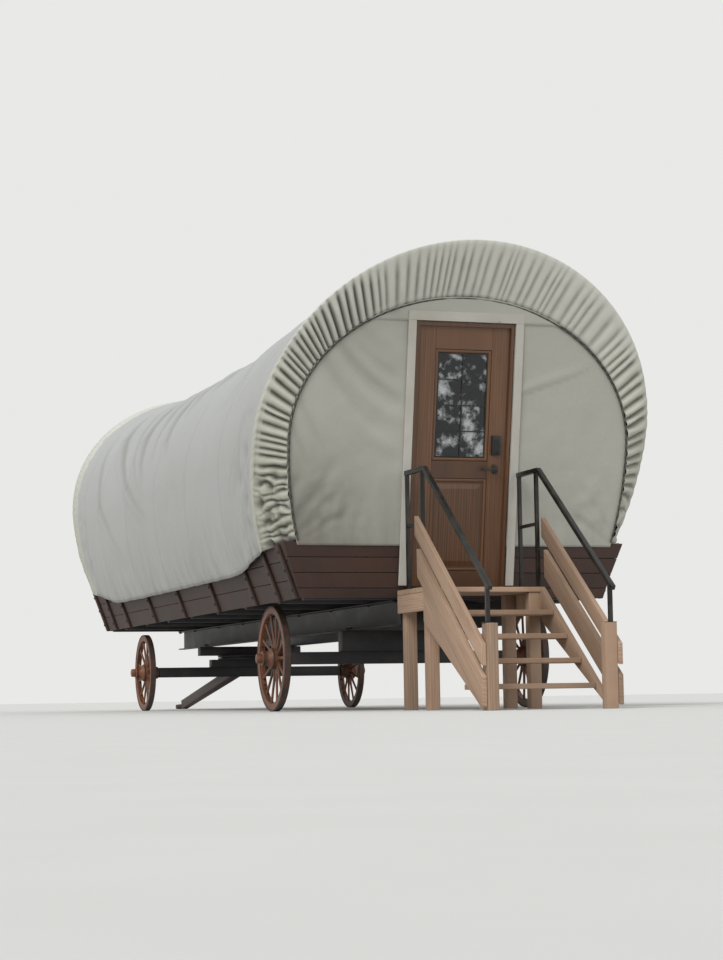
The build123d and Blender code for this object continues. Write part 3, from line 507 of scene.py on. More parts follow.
def board(low, high, edge=None):
    """A sawn board between two corners with eased edges and its grain along its length."""
    size = [b - a for a, b in zip(low, high)]
    middle = [(a + b) / 2 for a, b in zip(low, high)]
    piece = primitive("cube", size=1, location=middle, scale=size)
    bevel_all(piece, edge or bpy.context.scene.wagon_sizes.edge, 2)
    direction = [0, 0, 0]
    direction[size.index(max(size))] = 1
    lay_grain(piece, direction)
    return piece


def bend_points(piece, rule):
    """Move each point of a piece by a rule that takes and gives a place."""
    for vertex in piece.data.vertices:
        vertex.co = rule(vertex.co)


def eased_solid(node, edge, angle=35, segments=2, grain=False):
    """A copy of a plain solid, merged, with its edges eased and grain along each of its boards."""
    piece = bpy.data.objects.new(node + "_eased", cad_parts[node].data.copy())
    bpy.context.scene.collection.objects.link(piece)

    def merge():
        bpy.ops.mesh.remove_doubles(threshold=MERGE_SOLID)
        bpy.ops.mesh.dissolve_limited(angle_limit=math.radians(0.5))

    in_edit(piece, merge)
    parts = [piece]
    if grain:
        in_edit(piece, lambda: bpy.ops.mesh.separate(type="LOOSE"))
        parts = list(bpy.context.selected_objects)
        for part in parts:
            lay_grain(part, longest_edge(part.data))
    piece = join(parts)
    apply_modifier(piece, "BEVEL", width=edge, segments=segments, limit_method="ANGLE",
                   angle_limit=math.radians(angle), use_clamp_overlap=True)
    smooth_below(piece, 30)
    return piece


def dress(node, name, body, slot, finish_name, edge, **how):
    """Fit an eased copy of a plain solid in place of the solid."""
    fit(eased_solid(node, edge, **how), name, body, finish_name, [node])


def turned(profile, steps, angle=2 * math.pi):
    """A shape turned about the Y axis from a profile of radius and place along Y."""
    piece = primitive("plane", size=0.001, location=(profile[0][0], profile[0][1], 0))

    def spin():
        bpy.ops.mesh.merge(type="CENTER")
        for start, end in zip(profile[:-1], profile[1:]):
            step = (end[0] - start[0], end[1] - start[1], 0)
            bpy.ops.mesh.extrude_region_move(TRANSFORM_OT_translate={"value": step})
        bpy.ops.mesh.select_all(action="SELECT")
        bpy.ops.mesh.spin(steps=steps, angle=angle, center=(0, 0, 0), axis=(0, 1, 0))
        bpy.ops.mesh.select_all(action="SELECT")
        bpy.ops.mesh.remove_doubles(threshold=MERGE_TURNED)
        if angle < 2 * math.pi:
            bpy.ops.mesh.fill_holes(sides=0)
        bpy.ops.mesh.normals_make_consistent(inside=False)

    in_edit(piece, spin)
    smooth_below(piece, 35)
    lay_grain(piece, (0, 1, 0))
    return piece


def bolt_pattern(size):
    """A hexagon head on a round washer, its foot at the origin and its head along Z."""
    thick, deep = WASHER_THICK * size, HEAD_THICK * size
    washer = primitive(
        "cylinder", vertices=20, radius=WASHER_RADIUS * size, depth=thick, location=(0, 0, thick / 2))
    head = primitive(
        "cylinder", vertices=6, radius=HEAD_RADIUS * size, depth=deep, location=(0, 0, thick + deep / 2))
    bevel_all(head, HEAD_EASE * size, 1)
    return join([washer, head])


def facing(point, normal):
    """Matrix that sets a pattern made along Z on a point and turns it to a normal."""
    turn = Vector(normal).to_track_quat("Z", "Y").to_matrix().to_4x4()
    return Matrix.Translation(Vector(point)) @ turn


MIRROR_X = Matrix.Scale(-1, 4, (1, 0, 0))
MIRROR_Y = Matrix.Scale(-1, 4, (0, 1, 0))

# Raked rear plane: local X to the right side, Y up the rake, Z outward
REAR = Matrix(((0, -math.sin(RAKE), -math.cos(RAKE), -BOX_HALF), (-1, 0, 0, 0),
               (0, math.cos(RAKE), -math.sin(RAKE), FLOOR_TOP), (0, 0, 0, 1)))


def rear_board(low, high, edge=None):
    """A board measured in the raked plane of the rear end."""
    piece = board(low, high, edge)
    piece.data.transform(REAR)
    return piece


# Cloth shapes

# Points from which a hoop is measured: along one side, and over the top
SIDE_POINTS, TOP_POINTS = 40, 161


def side_half(values, z):
    """Half width at a height between the hem and the widest height of a hoop."""
    half, wide_z, _, hem_z, hem_half = values
    drop = (wide_z - hem_z) / math.sqrt(1 - (hem_half / half) ** 2)
    return half * np.sqrt(1 - ((wide_z - z) / drop) ** 2)


def half_width(values, z):
    """Half width of a hoop at any height, which is nothing at its top."""
    half, wide_z, top_z = values[:3]
    if z < wide_z:
        return float(side_half(values, z))
    return half * math.sqrt(max(0.0, 1 - ((z - wide_z) / (top_z - wide_z)) ** 2))


def hoop(values, columns):
    """Points (y, z) evenly spaced from the left hem over the ridge to the right hem."""
    half, wide_z, top_z, hem_z, _ = values
    z = np.linspace(hem_z, wide_z, SIDE_POINTS, endpoint=False)
    left = np.stack([side_half(values, z), z], 1)
    turn = np.linspace(0, np.pi, TOP_POINTS)
    top = np.stack([half * np.cos(turn), wide_z + (top_z - wide_z) * np.sin(turn)], 1)
    right = left[::-1] * [-1, 1]
    line = np.concatenate([left, top, right])
    lengths = np.concatenate([[0], np.cumsum(np.hypot(*np.diff(line, axis=0).T))])
    even = np.linspace(0, lengths[-1], columns + 1)
    return np.stack([np.interp(even, lengths, line[:, 0]), np.interp(even, lengths, line[:, 1])], 1)


def station_at(share):
    """Smooth station values at a place counted in stations from the rear."""
    start = min(int(share), BAYS - 1)
    t = share - start
    before = STATIONS[start - 1] if start > 0 else 2 * STATIONS[0] - STATIONS[1]
    after = STATIONS[start + 2] if start + 2 <= BAYS else 2 * STATIONS[BAYS] - STATIONS[BAYS - 1]
    a, b = STATIONS[start], STATIONS[start + 1]
    return 0.5 * (2 * a + (b - before) * t + (2 * before - 5 * a + 4 * b - after) * t ** 2
                  + (3 * a - before - 3 * b + after) * t ** 3)


def hoop_row(share, columns):
    """Points in space of the hoop at a place counted in stations from the rear."""
    mid_x, rake, *values = station_at(share)
    flat = hoop(values, columns)
    x = mid_x - math.tan(math.radians(rake)) * (flat[:, 1] - values[1])
    return np.column_stack([x, flat])


def ring_row(columns, inset, lift):
    """Points of the ring in the raked rear plane, set in from it and lifted outwards."""
    half, wide_z, top_z, hem_z, hem_half = RING
    flat = hoop((half - inset, wide_z, top_z - inset, hem_z, hem_half - inset), columns)
    up = (flat[:, 1] - FLOOR_TOP) / math.cos(RAKE)
    x = -BOX_HALF - math.sin(RAKE) * up - math.cos(RAKE) * lift
    z = FLOOR_TOP + math.cos(RAKE) * up - math.sin(RAKE) * lift
    return np.column_stack([x, flat[:, 0], z])


def normals_of(grid):
    """Outward unit normals of a grid of points, rows first."""
    along = np.gradient(grid, axis=0)
    across = np.gradient(grid, axis=1)
    cross = np.cross(across, along)
    return cross / np.maximum(np.linalg.norm(cross, axis=2, keepdims=True), 1e-9)


def ripple(x, y, size, seed):
    """Smooth noise from -1 to 1 over two arrays of places, with bumps of a size."""
    x, y = np.broadcast_arrays(x, y)
    flat = [noise.noise(Vector((a / size, b / size, seed))) for a, b in zip(x.ravel(), y.ravel())]
    return np.array(flat).reshape(x.shape)


def rise(value, low, high):
    """Rise smoothly from 0 to 1 between two values."""
    share = np.clip((value - low) / (high - low), 0, 1)
    return share * share * (3 - 2 * share)


def fall(value, low, high):
    """Fall smoothly from 1 to 0 between two values."""
    return 1 - rise(value, low, high)


def bell(value):
    """A hump 1 high at 0 that is nearly gone two away from it."""
    return np.exp(-value ** 2)


def cloth_from(grid, thick=0, values=None, cut=None):
    """A sheet of cloth through a grid of points with values for its finish, less the faces that are cut out."""
    rows, columns = grid.shape[:2]
    piece = primitive("grid", x_subdivisions=columns - 1, y_subdivisions=rows - 1, size=2)
    mesh = piece.data
    places = np.empty(len(mesh.vertices) * 3)
    mesh.vertices.foreach_get("co", places)
    places = places.reshape(-1, 3)
    column = np.rint((places[:, 0] + 1) / 2 * (columns - 1)).astype(int)
    row = np.rint((places[:, 1] + 1) / 2 * (rows - 1)).astype(int)
    mesh.vertices.foreach_set("co", grid[row, column].ravel())
    steps_across = np.linalg.norm(np.diff(grid, axis=1), axis=2).mean(axis=0)
    steps_along = np.linalg.norm(np.diff(grid, axis=0), axis=2).mean(axis=1)
    across = np.concatenate([[0], np.cumsum(steps_across)])
    along = np.concatenate([[0], np.cumsum(steps_along)])
    corners = np.empty(len(mesh.loops), dtype=np.int32)
    mesh.loops.foreach_get("vertex_index", corners)
    flat = np.column_stack([across[column[corners]], along[row[corners]]])
    mesh.uv_layers.active.data.foreach_set("uv", flat.ravel())
    for title, value in (values or {}).items():
        layer = mesh.attributes.new(title, "FLOAT", "POINT")
        layer.data.foreach_set("value", value[row, column])
    mesh.update()
    if cut is not None:
        with_faces(piece, lambda face: cut[row[list(face.vertices)].min(), column[list(face.vertices)].min()],
                   lambda: bpy.ops.mesh.delete(type="FACE"))
    if thick:
        apply_modifier(piece, "SOLIDIFY", thickness=thick, offset=-1)
    only(piece)
    bpy.ops.object.shade_smooth()
    return piece


def mirrored_cloth(grid):
    """The grid of the other end of the wagon, with its outward side kept."""
    return (grid * [-1, 1, 1])[:, ::-1]


def declare(piece, name, replaces, finish_name="canvas_end"):
    """Fit a canvas sheet to the wagon."""
    fit(piece, name, "wagon", finish_name, replaces)


COVER_ROWS = 265
COVER_COLUMNS = 151
# Mean length of the cloth from hem to hem, of one bay, and of a bay in the middle
COVER_GIRTH = 6.55
MEAN_BAY = 0.9
MIDDLE_BAY = 1.267
# How far the cloth lies inside the plain cover, and may sink below that between two bows
COVER_INSET = 0.003
COVER_SINK = 0.05

# Long folds of the cover's left side, falling from the hoods to the middle of the wagon
# columns: place along the wagon and distance from the ridge at the upper end, the same at the lower end,
# width, share of the full height
LONG_FOLDS = [
    (3.45, 1.30, 1.60, 2.90, 0.12, 0.7),
    (3.20, 0.90, 0.30, 2.60, 0.15, 1.0),
    (2.60, 0.70, 0.60, 2.30, 0.11, 0.6),
    (1.95, 0.60, 0.70, 2.20, 0.14, 1.0),
    (1.40, 0.55, 0.40, 2.00, 0.10, 0.7),
    (0.80, 0.50, -0.15, 2.00, 0.13, 1.0),
    (0.35, 0.45, -0.20, 1.60, 0.10, 0.7),
    (-0.10, 0.40, -0.50, 1.30, 0.12, 0.9),
    (-0.80, 0.40, -1.00, 1.20, 0.11, 0.5),
    (-3.05, 0.80, -2.10, 1.80, 0.16, 0.9),
    (-3.35, 0.70, -2.90, 1.90, 0.11, 0.6),
    (-3.60, 1.70, -2.90, 2.70, 0.11, 0.6),
]


def long_folds(x, y, from_ridge):
    """Height and shade of the long folds, both up to 1, mirrored end for end on the right side."""
    height = np.zeros_like(x)
    shade = np.zeros_like(x)
    along = np.where(y > 0, x, -x) + 0.06 * ripple(x, from_ridge, 0.5, 3.0)
    for top_x, top_down, low_x, low_down, width, share in LONG_FOLDS:
        way = np.clip((from_ridge - top_down) / (low_down - top_down), 0, 1)
        line = top_x + (low_x - top_x) * way ** 1.5
        away = (along - line) * math.copysign(1 / width, low_x - top_x)
        fade = share * np.sin(math.pi * way) ** 0.7
        # A fold is steeper on the side that it falls to, and that side is in shade
        height += fade * bell(away / np.where(away > 0, 0.6, 1.1))
        shade += fade * bell((away - 0.9) / 0.5)
    return height, np.clip(shade, 0, 1)


def cover_grid(sizes):
    """The cover over the bows with its folds, and the values for its finish."""
    shares = np.linspace(0, BAYS, COVER_ROWS)
    grid = np.array([hoop_row(share, COVER_COLUMNS - 1) for share in shares])
    x, y = grid[..., 0], grid[..., 1]
    bay = (shares - np.minimum(shares.astype(int), BAYS - 1))[:, None]
    bay_length = np.abs(np.gradient(grid[:, COVER_COLUMNS // 2, 0]) * (COVER_ROWS - 1) / BAYS)[:, None]
    hang = 4 * bay * (1 - bay)
    steps = np.minimum(np.arange(COVER_COLUMNS), np.arange(COVER_COLUMNS)[::-1])
    from_hem = steps * COVER_GIRTH / (COVER_COLUMNS - 1) + 0 * x
    from_end = np.minimum(shares, BAYS - shares)[:, None] * MEAN_BAY + 0 * x
    left = y > 0
    # The right side has ripples of its own
    down = from_hem + np.where(left, 0.0, 40.0)
    out = from_end / 0.5 + np.where(left, 0.0, 40.0)
    sag = sizes.bow_sag * (bay_length / MIDDLE_BAY) ** 2 * hang * (0.55 + 0.45 * rise(from_hem, 0.9, 2.4))
    fold_height, fold_shade = long_folds(x, y, COVER_GIRTH / 2 - from_hem)
    swags = sizes.swag_deep * fold_height
    gathers = 0.007 * ripple(from_hem / 0.055, out, 1.0, 5.0) * fall(from_end, 0.1, 0.8)
    wave = np.sin(x / 0.047 + 4 * ripple(x, y, 0.8, 11.0)) * 0.35 + 1.3 * ripple(x, y, 0.16, 12.0)
    hem = 0.010 * wave * fall(from_hem, 0.0, 0.30)
    # Crumples beside the low corners of the hoods, where the gathers bunch
    crush = 0.024 * ripple(x, down, 0.15, 25.0) + 0.014 * ripple(x, down, 0.08, 26.0)
    crush = crush * (rise(from_end, 0.34, 0.52) * fall(from_end, 0.60, 1.20))
    crush = crush * fall(from_hem, 0.5, 1.5) * np.where(left, 1.0, 0.5)
    loose = 0.004 * ripple(x, down, 0.30, 17.0) + 0.0016 * ripple(x, down, 0.11, 18.0)
    move = swags + gathers + crush + hem + loose - sag - COVER_INSET
    # The canvas lies on the bows and only sinks between them
    move = np.maximum(move, -COVER_INSET - COVER_SINK * hang)
    grid = grid + normals_of(grid) * move[..., None]
    grid[..., 2] += 0.010 * ripple(x, y, 0.35, 21.0) * fall(from_hem, 0, 0.25)
    # Painted shade in the hollows of the gathers, hem and crumples, and on the shaded side of each long fold
    hollows = np.clip(-(gathers + hem + crush) / 0.010, 0, 1)
    depth = np.clip(0.40 * fold_shade + 0.14 * hollows, 0, 1)
    from_bow = np.minimum(bay, 1 - bay) * bay_length + 0 * x
    return grid, {"fold_depth": depth, "from_seam": from_bow, "from_edge": from_hem}


class WAGON_OT_cover(bpy.types.Operator):
    """Hang the main cover over the bows"""

    bl_idname = "wagon.cover"
    bl_label = "Cover"

    def execute(self, context):
        sizes = context.scene.wagon_sizes
        grid, values = cover_grid(sizes)
        piece = cloth_from(grid, sizes.canvas_thick, values)
        declare(piece, "cover_canvas", ["cover"], "canvas")
        return {"FINISHED"}


# Rows of a hood's face, of its lip over the outer bow and of its lap along the cover
HOOD_ROWS = (14, 4, 7)
POINTS_PER_PLEAT = 9
# How far the hood stands off its ring, off the face and the top of the outer bow, and laps in bays
RING_LIFT = 0.016
FACE_OFF, TOP_OFF = 0.010, 0.009
LAP_BAYS = 0.36


def hood_rows(columns):
    """The ungathered hood from the ring, over the outer bow and a hand's breadth along the cover."""
    face, lip, lap = HOOD_ROWS
    ring = ring_row(columns, 0.0, RING_LIFT)
    edge = hoop_row(0, columns)
    front = edge + [-FACE_OFF, 0, 0]
    rows = [ring + (front - ring) * share for share in np.linspace(0, 1, face, endpoint=False)]
    over = edge - np.array([0, 0, RING[1]])
    over[:, 0] = 0
    over[:, 2] = np.maximum(over[:, 2], 0)
    over = over / np.linalg.norm(over, axis=1, keepdims=True)
    for turn in np.linspace(0, 1, lip, endpoint=False) * math.pi / 2:
        rows.append(edge + over * TOP_OFF * math.sin(turn) + [-FACE_OFF * math.cos(turn), 0, 0])
    for share in np.linspace(0, 1, lap):
        # The lap's end lies 8 mm under the cover's outline
        rows.append(hoop_row(LAP_BAYS * share, columns) + over * (TOP_OFF - 0.017 * share ** 2))
    return np.array(rows), edge


def hood_grid(sizes):
    """The gathered hood and the painted shade of its gathers from 0 to 1."""
    pleats = sizes.pleats
    columns = pleats * POINTS_PER_PLEAT
    grid, edge = hood_rows(columns)
    smooth = grid.copy()
    for _ in range(2):
        smooth[1:-1] = (smooth[:-2] + 2 * smooth[1:-1] + smooth[2:]) / 4
    outward = normals_of(smooth)

    # Gathers are shallow over the ridge, deep at both sides and crushed at the lower corners
    left = edge[:, 1] > 0
    x, y, z = grid[..., 0], grid[..., 1], grid[..., 2]
    from_top = np.abs(np.arctan2(edge[:, 1], edge[:, 2] - RING[1]))
    beside = np.where(left, rise(from_top, 0.50, 0.85), rise(from_top, 0.95, 1.30))
    low = fall(z - np.where(y > 0, 0.20, 0.0), 1.42, 1.80)

    # Each gather has a width and a height of its own, and those of the right side are wider
    chance = random.Random(11)
    widths = np.array([chance.uniform(0.62, 1.38) for _ in range(pleats)])
    widths[int(0.70 * pleats):] *= 1.4
    starts = np.concatenate([[0], np.cumsum(widths)]) / widths.sum() * columns
    heights = np.array([chance.uniform(0.70, 1.20) for _ in range(pleats)])
    count = np.arange(columns + 1)
    reach = np.linspace(0, 1, len(grid))[:, None]
    drift = 5.0 * ripple(count / 40, reach * 1.5, 1.0, 4.0) * reach
    drift = drift + 9.0 * low * ripple(count / 14, reach * 5.0, 1.0, 14.0)
    phase = np.clip(np.interp(count + drift, starts, np.arange(pleats + 1)), 0, pleats)
    which = np.clip(phase.astype(int), 0, pleats - 1)
    rib = np.sqrt(np.clip(0.5 + 0.5 * np.cos(math.pi * (2 * (phase - which) - 1)), 0, 1))
    merge = 0.85 + 0.4 * ripple(phase * 0.9, reach * 3, 1.0, 6.0)

    # Depth of the gathers down the face, round the lip and along the lap
    face, lip, lap = HOOD_ROWS
    strength = np.concatenate([
        np.interp(np.linspace(0, 1, face), [0, 0.12, 0.7, 0.9, 1.0], [0.45, 0.95, 1.0, 0.55, 0.22]),
        np.linspace(0.20, 0.12, lip), 0.12 * (1 - np.linspace(0, 1, lap)) ** 1.5])[:, None]
    share = strength * (0.30 + 0.70 * beside) * (1 - 0.45 * low)
    bent = sizes.pleat_deep * share * (rib * heights[which] * merge - 0.55)
    crumple = ripple(y + x, z, 0.085, 9.0) + 0.5 * ripple(y - x, z, 0.04, 19.0)
    crumple = (0.002 + 0.026 * low) * crumple * np.minimum(1, 2.5 * strength)
    grid = grid + outward * (bent + crumple)[..., None]
    # Painted shade in the valleys between the ribs and in the hollows of the crumples, stronger on the left side
    # than the right
    depth = np.clip(1.25 - rib * 1.45, 0, 1) * np.clip(2.1 * share, 0, 1)
    depth = depth + 0.6 * np.clip(-crumple / 0.012, 0, 1)
    return grid, np.clip(depth * np.where(left, 0.95, 0.75), 0, 1)


class WAGON_OT_hoods(bpy.types.Operator):
    """Gather the canvas over the outer bows into the ring at each end"""

    bl_idname = "wagon.hoods"
    bl_label = "Hoods"

    def execute(self, context):
        sizes = context.scene.wagon_sizes
        grid, depth = hood_grid(sizes)
        # No seam or hem shows on a hood
        far = np.ones_like(depth)
        for end, shape, shade in (("rear", grid, depth), ("front", mirrored_cloth(grid), depth[:, ::-1])):
            piece = cloth_from(
                shape, sizes.canvas_thick, {"fold_depth": shade, "from_seam": far, "from_edge": far})
            declare(piece, f"hood_{end}_canvas", [f"hood_{end}"],
                    "canvas_hood")
        return {"FINISHED"}


# Lowest edge of the end canvas, and its rise from the widest height to the top
END_HEM = 1.262
END_RISE = 1.113
END_INSET = 0.002
END_LIFT = 0.006
HEAD_LIFT = 0.013
# Rows of points below and above the ring's widest height, and how far below the door head the step starts
LOW_ROWS, HIGH_ROWS = 40, 60
HEAD_STEP = 0.005
# Columns of points beside the doorway on each side, and across it, where they keep to the jambs while they
# lie within this share of the half width
SIDE_COLUMNS, DOOR_COLUMNS = 52, 26
JAMB_SHARE = 0.55
# Where the shallow folds fan out from, and where the canvas bunches: height, and distance from the middle
FAN_HEIGHT = 2.0
CORNER_HEIGHT, CORNER_OUT = 1.22, 1.42


def end_rows():
    """Canvas inside the ring in columns that follow the jambs, its heights and the row at the door head."""
    head = FLOOR_TOP + math.cos(RAKE) * (HEAD_TOP + END_INSET)
    low = list(np.linspace(END_HEM, RING[1], LOW_ROWS, endpoint=False))
    high = [RING[1] + END_RISE * math.sin(turn) for turn in np.linspace(0, math.pi / 2, HIGH_ROWS)]
    nearest = min(range(len(high)), key=lambda place: abs(high[place] - head))
    high[nearest] = head
    # A row just below the door head makes a step there
    high.insert(nearest, head - HEAD_STEP)
    heights = low + high
    rows = []
    for z in heights:
        half = half_width(RING, z) - END_INSET
        inner = min(JAMB_HALF + END_INSET, JAMB_SHARE * half)
        y = np.concatenate([
            np.linspace(half, inner, SIDE_COLUMNS, endpoint=False),
            np.linspace(inner, -inner, DOOR_COLUMNS, endpoint=False),
            np.linspace(-inner, -half, SIDE_COLUMNS + 1)])
        up = (z - FLOOR_TOP) / math.cos(RAKE)
        rows.append([(REAR @ Vector((-place, up, END_LIFT)))[:] for place in y])
    return np.array(rows), heights, heights.index(head)


def end_grid():
    """Canvas inside the ring with its folds, the faces of the doorway and the values for its finish."""
    grid, heights, head_row = end_rows()
    y, z = grid[..., 1], grid[..., 2]
    left = y > 0
    halves = np.array([max(half_width(RING, height), 0.05) for height in heights])
    edge = 1 - (np.abs(y) / halves[:, None]) ** 6
    distance = np.hypot(y, z - FAN_HEIGHT)
    fan = 0.0025 * ripple(np.arctan2(z - FAN_HEIGHT, y) / 0.075, distance, 1.0, 2.0) * rise(distance, 0.6, 1.2)
    slack = 0.012 * ripple(y, z, 0.55, 5.0) + 0.004 * ripple(y + 0.6 * z, z - 0.6 * y, 0.16, 6.0)
    # Swags sink from the ring's shoulder to the left jamb, and one crease rises from the right jamb
    level = z - 0.9 * (y - 0.42) ** 2 - 0.25 * (y - 0.42)
    swags = 0.034 * ripple(level / 0.14, y / 0.9, 1.0, 8.0) * rise(y, 0.42, 0.6) * rise(z, 1.7, 2.2)
    beyond = -y - 0.44
    crease_line = 2.46 + 0.30 * beyond + 0.10 * beyond ** 2
    crease = bell((z - crease_line) / 0.026) * rise(-y, 0.40, 0.50) * fall(-y, 0.85, 1.1)
    # Puckers run up from the lower corners, where the gathers bunch, and crumple there
    corner = np.arctan2(z - CORNER_HEIGHT, CORNER_OUT - np.abs(y))
    from_corner = np.hypot(CORNER_OUT - np.abs(y), z - CORNER_HEIGHT)
    bunch = 0.045 * ripple(corner / 0.16 + np.where(left, 0.0, 30.0), from_corner / 0.8, 1.0, 7.0)
    bunch = bunch * fall(from_corner, 0.15, 0.95) * np.where(left, 1.0, 0.6)
    crush = 0.036 * (ripple(y, z, 0.13, 23.0) + 0.7 * ripple(y, z, 0.075, 24.0))
    crush = crush * fall(from_corner, 0.15, 0.90) * np.where(left, 1.0, 0.5)
    hem = ripple(y / 0.10, z / 0.5, 1.0, 17.0) * fall(z, 1.27, 1.55)
    move = fan + slack + swags + 0.012 * crease + bunch + crush + 0.006 * hem
    move = move * rise(z, 1.30, 1.48) + 0.003 * (1 + hem) * fall(z, 1.30, 1.40)
    above = (z > heights[head_row] - 0.002) & (edge > 0)
    grid = grid + normals_of(grid) * (move * np.clip(edge, 0, 1) + HEAD_LIFT * above)[..., None]
    # Painted shade lies in the hollows, at the left lower corner and under the crease, and the canvas below the
    # door head is drawn a little darker
    painted_shade = 0.07 * ~above + 0.12 * np.clip(-(swags + bunch + crush) / 0.015, 0, 1)
    painted_shade = painted_shade + 0.48 * fall(from_corner, 0.1, 1.2) * left
    painted_shade = painted_shade + 0.10 * bell((z - crease_line + 0.04) / 0.02) * (crease > 0.02)
    doorway = np.zeros(y.shape, dtype=bool)
    doorway[:head_row, SIDE_COLUMNS:SIDE_COLUMNS + DOOR_COLUMNS] = True
    far = np.ones_like(y)
    return grid, doorway, {"fold_depth": painted_shade, "from_seam": far, "from_edge": far}


class WAGON_OT_end_canvases(bpy.types.Operator):
    """Stretch the canvas inside the ring at each end"""

    bl_idname = "wagon.end_canvases"
    bl_label = "End canvases"

    def execute(self, context):
        thick = context.scene.wagon_sizes.canvas_thick
        grid, doorway, values = end_grid()
        rear = cloth_from(grid, thick, values, doorway)
        declare(rear, "end_canvas_rear", ["rear_canvas"])
        values = {name: value[:, ::-1] for name, value in values.items()}
        front = cloth_from(mirrored_cloth(grid), thick, values)
        declare(front, "end_canvas_front", ["front_canvas"])
        return {"FINISHED"}


CORD_RADIUS = 0.0075
CORD_PITCH = 0.07
CORD_STRANDS = 3
# Depth of the grooves between strands, as a share of the radius, and points round the cord
CORD_GROOVE = 0.32
CORD_SIDES = 10
# Points along the cord, and how far it lies inside the ring and off the raked plane
CORD_STEPS, CORD_INSET, CORD_LIFT = 560, 0.014, 0.018


def rope(line):
    """A closed three-strand rope along a line of points."""
    forward = np.gradient(line, axis=0)
    forward /= np.linalg.norm(forward, axis=1, keepdims=True)
    side = np.cross(forward, [1.0, 0.0, 0.0])
    side /= np.maximum(np.linalg.norm(side, axis=1, keepdims=True), 1e-9)
    third = np.cross(forward, side)
    lengths = np.concatenate([[0], np.cumsum(np.linalg.norm(np.diff(line, axis=0), axis=1))])
    turn = np.linspace(0, 2 * np.pi, CORD_SIDES + 1)
    twist = CORD_STRANDS * (turn - 2 * np.pi * lengths[:, None] / CORD_PITCH)
    radius = CORD_RADIUS * (1 - CORD_GROOVE / 2 * (1 - np.cos(twist)))[..., None]
    round_cord = np.cos(turn)[:, None] * side[:, None, :] + np.sin(turn)[:, None] * third[:, None, :]
    piece = cloth_from(line[:, None, :] + radius * round_cord)

    def close():
        bpy.ops.mesh.remove_doubles(threshold=CORD_RADIUS / 75)
        bpy.ops.mesh.fill_holes(sides=0)
        bpy.ops.mesh.normals_make_consistent(inside=False)

    in_edit(piece, close)
    return piece


class WAGON_OT_drawcords(bpy.types.Operator):
    """Lead the drawcord round the ring at each end"""

    bl_idname = "wagon.drawcords"
    bl_label = "Drawcords"

    def execute(self, context):
        line = ring_row(CORD_STEPS, CORD_INSET, CORD_LIFT)
        for end, way in (("rear", 1), ("front", -1)):
            fit(rope(line * [way, 1, 1]), f"drawcord_{end}", "wagon", "cord", ["drawcords"])
        return {"FINISHED"}


# Outer face of a side board: its foot, and how far it rises and leans out
SIDE_FOOT_Y, SIDE_FOOT_Z = 1.245, 0.860
SIDE_RISE, SIDE_LEAN = 0.430, 0.160
FLARE = math.atan2(SIDE_LEAN, SIDE_RISE)
# The left side: local X along the wagon, Y up the flare, Z outward
SIDE = Matrix(((1, 0, 0, 0), (0, math.sin(FLARE), math.cos(FLARE), SIDE_FOOT_Y),
               (0, math.cos(FLARE), -math.sin(FLARE), SIDE_FOOT_Z), (0, 0, 0, 1)))
SIDE_THICK = 0.028
SIDE_BOARDS = 3
# Side boards are sawn this much too long, and trimmed to end this far inside the raked plane
SIDE_OVERRUN, SIDE_TRIM = 0.2, 0.033


def side_outer(z):
    """Outer face of the side boards at a height."""
    return SIDE_FOOT_Y + (z - SIDE_FOOT_Z) * math.tan(FLARE)


def side_trim(point):
    """A point at either end of a side board moved onto the raked end plane."""
    end = BOX_HALF + math.tan(RAKE) * (point.z - FLOOR_TOP) - SIDE_TRIM
    x = end - (BOX_HALF + SIDE_OVERRUN - abs(point.x))
    return Vector((math.copysign(x, point.x), point.y, point.z))


class WAGON_OT_box_sides(bpy.types.Operator):
    """Plank the flared sides of the box"""

    bl_idname = "wagon.box_sides"
    bl_label = "Box sides"

    def execute(self, context):
        gap = context.scene.wagon_sizes.plank_gap
        reach = BOX_HALF + SIDE_OVERRUN
        pitch = SIDE_RISE / math.cos(FLARE) / SIDE_BOARDS
        planks = []
        for row in range(SIDE_BOARDS):
            plank = board((-reach, row * pitch + gap / 2, -SIDE_THICK), (reach, (row + 1) * pitch - gap / 2, 0))
            plank.data.transform(SIDE)
            bend_points(plank, side_trim)
            planks.append(plank)
        left = join(planks)
        right = twin(left, MIRROR_Y)
        # The mirrored side is timber of its own
        for corner in right.data.uv_layers.active.data:
            corner.uv = (corner.uv[0] + 17.3, corner.uv[1] + 5.1)
        for piece, side in ((left, "left"), (right, "right")):
            fit(piece, f"side_boards_{side}", "wagon", "box", [f"side_{side}"])
        return {"FINISHED"}


# Edges of the end boards, measured up the rake
REAR_ROWS = (-0.0812, -0.002, 0.117, 0.236, 0.3550)
FRONT_ROWS = (-0.0812, 0.064, 0.21, 0.3550)
END_THICK = 0.0295
# Gap between the boards and the doorway
JAMB_GAP = 0.002
# End boards are sawn to this half length, and trimmed to end this far inside the side boards' outer face
END_REACH, END_TRIM = 1.5, 0.001


def end_trim(point):
    """A point at the outer end of an end board moved onto the flared side, and one at the doorway left."""
    if abs(point.y) < END_REACH / 2:
        return point
    y = side_outer(point.z) - END_TRIM - (END_REACH - abs(point.y))
    return Vector((point.x, math.copysign(y, point.y), point.z))


def end_boards(rows, gap, doorway):
    """Boards in the raked rear plane, trimmed at the sides, with a doorway above the lowest of them."""
    jamb = JAMB_HALF + JAMB_GAP
    whole, split = [(-END_REACH, END_REACH)], [(-END_REACH, -jamb), (jamb, END_REACH)]
    planks = []
    for count, (start, end) in enumerate(zip(rows[:-1], rows[1:])):
        for left, right in split if doorway and count else whole:
            planks.append(rear_board((left, start + gap / 2, -END_THICK), (right, end - gap / 2, 0)))
    piece = join(planks)
    bend_points(piece, end_trim)
    return piece


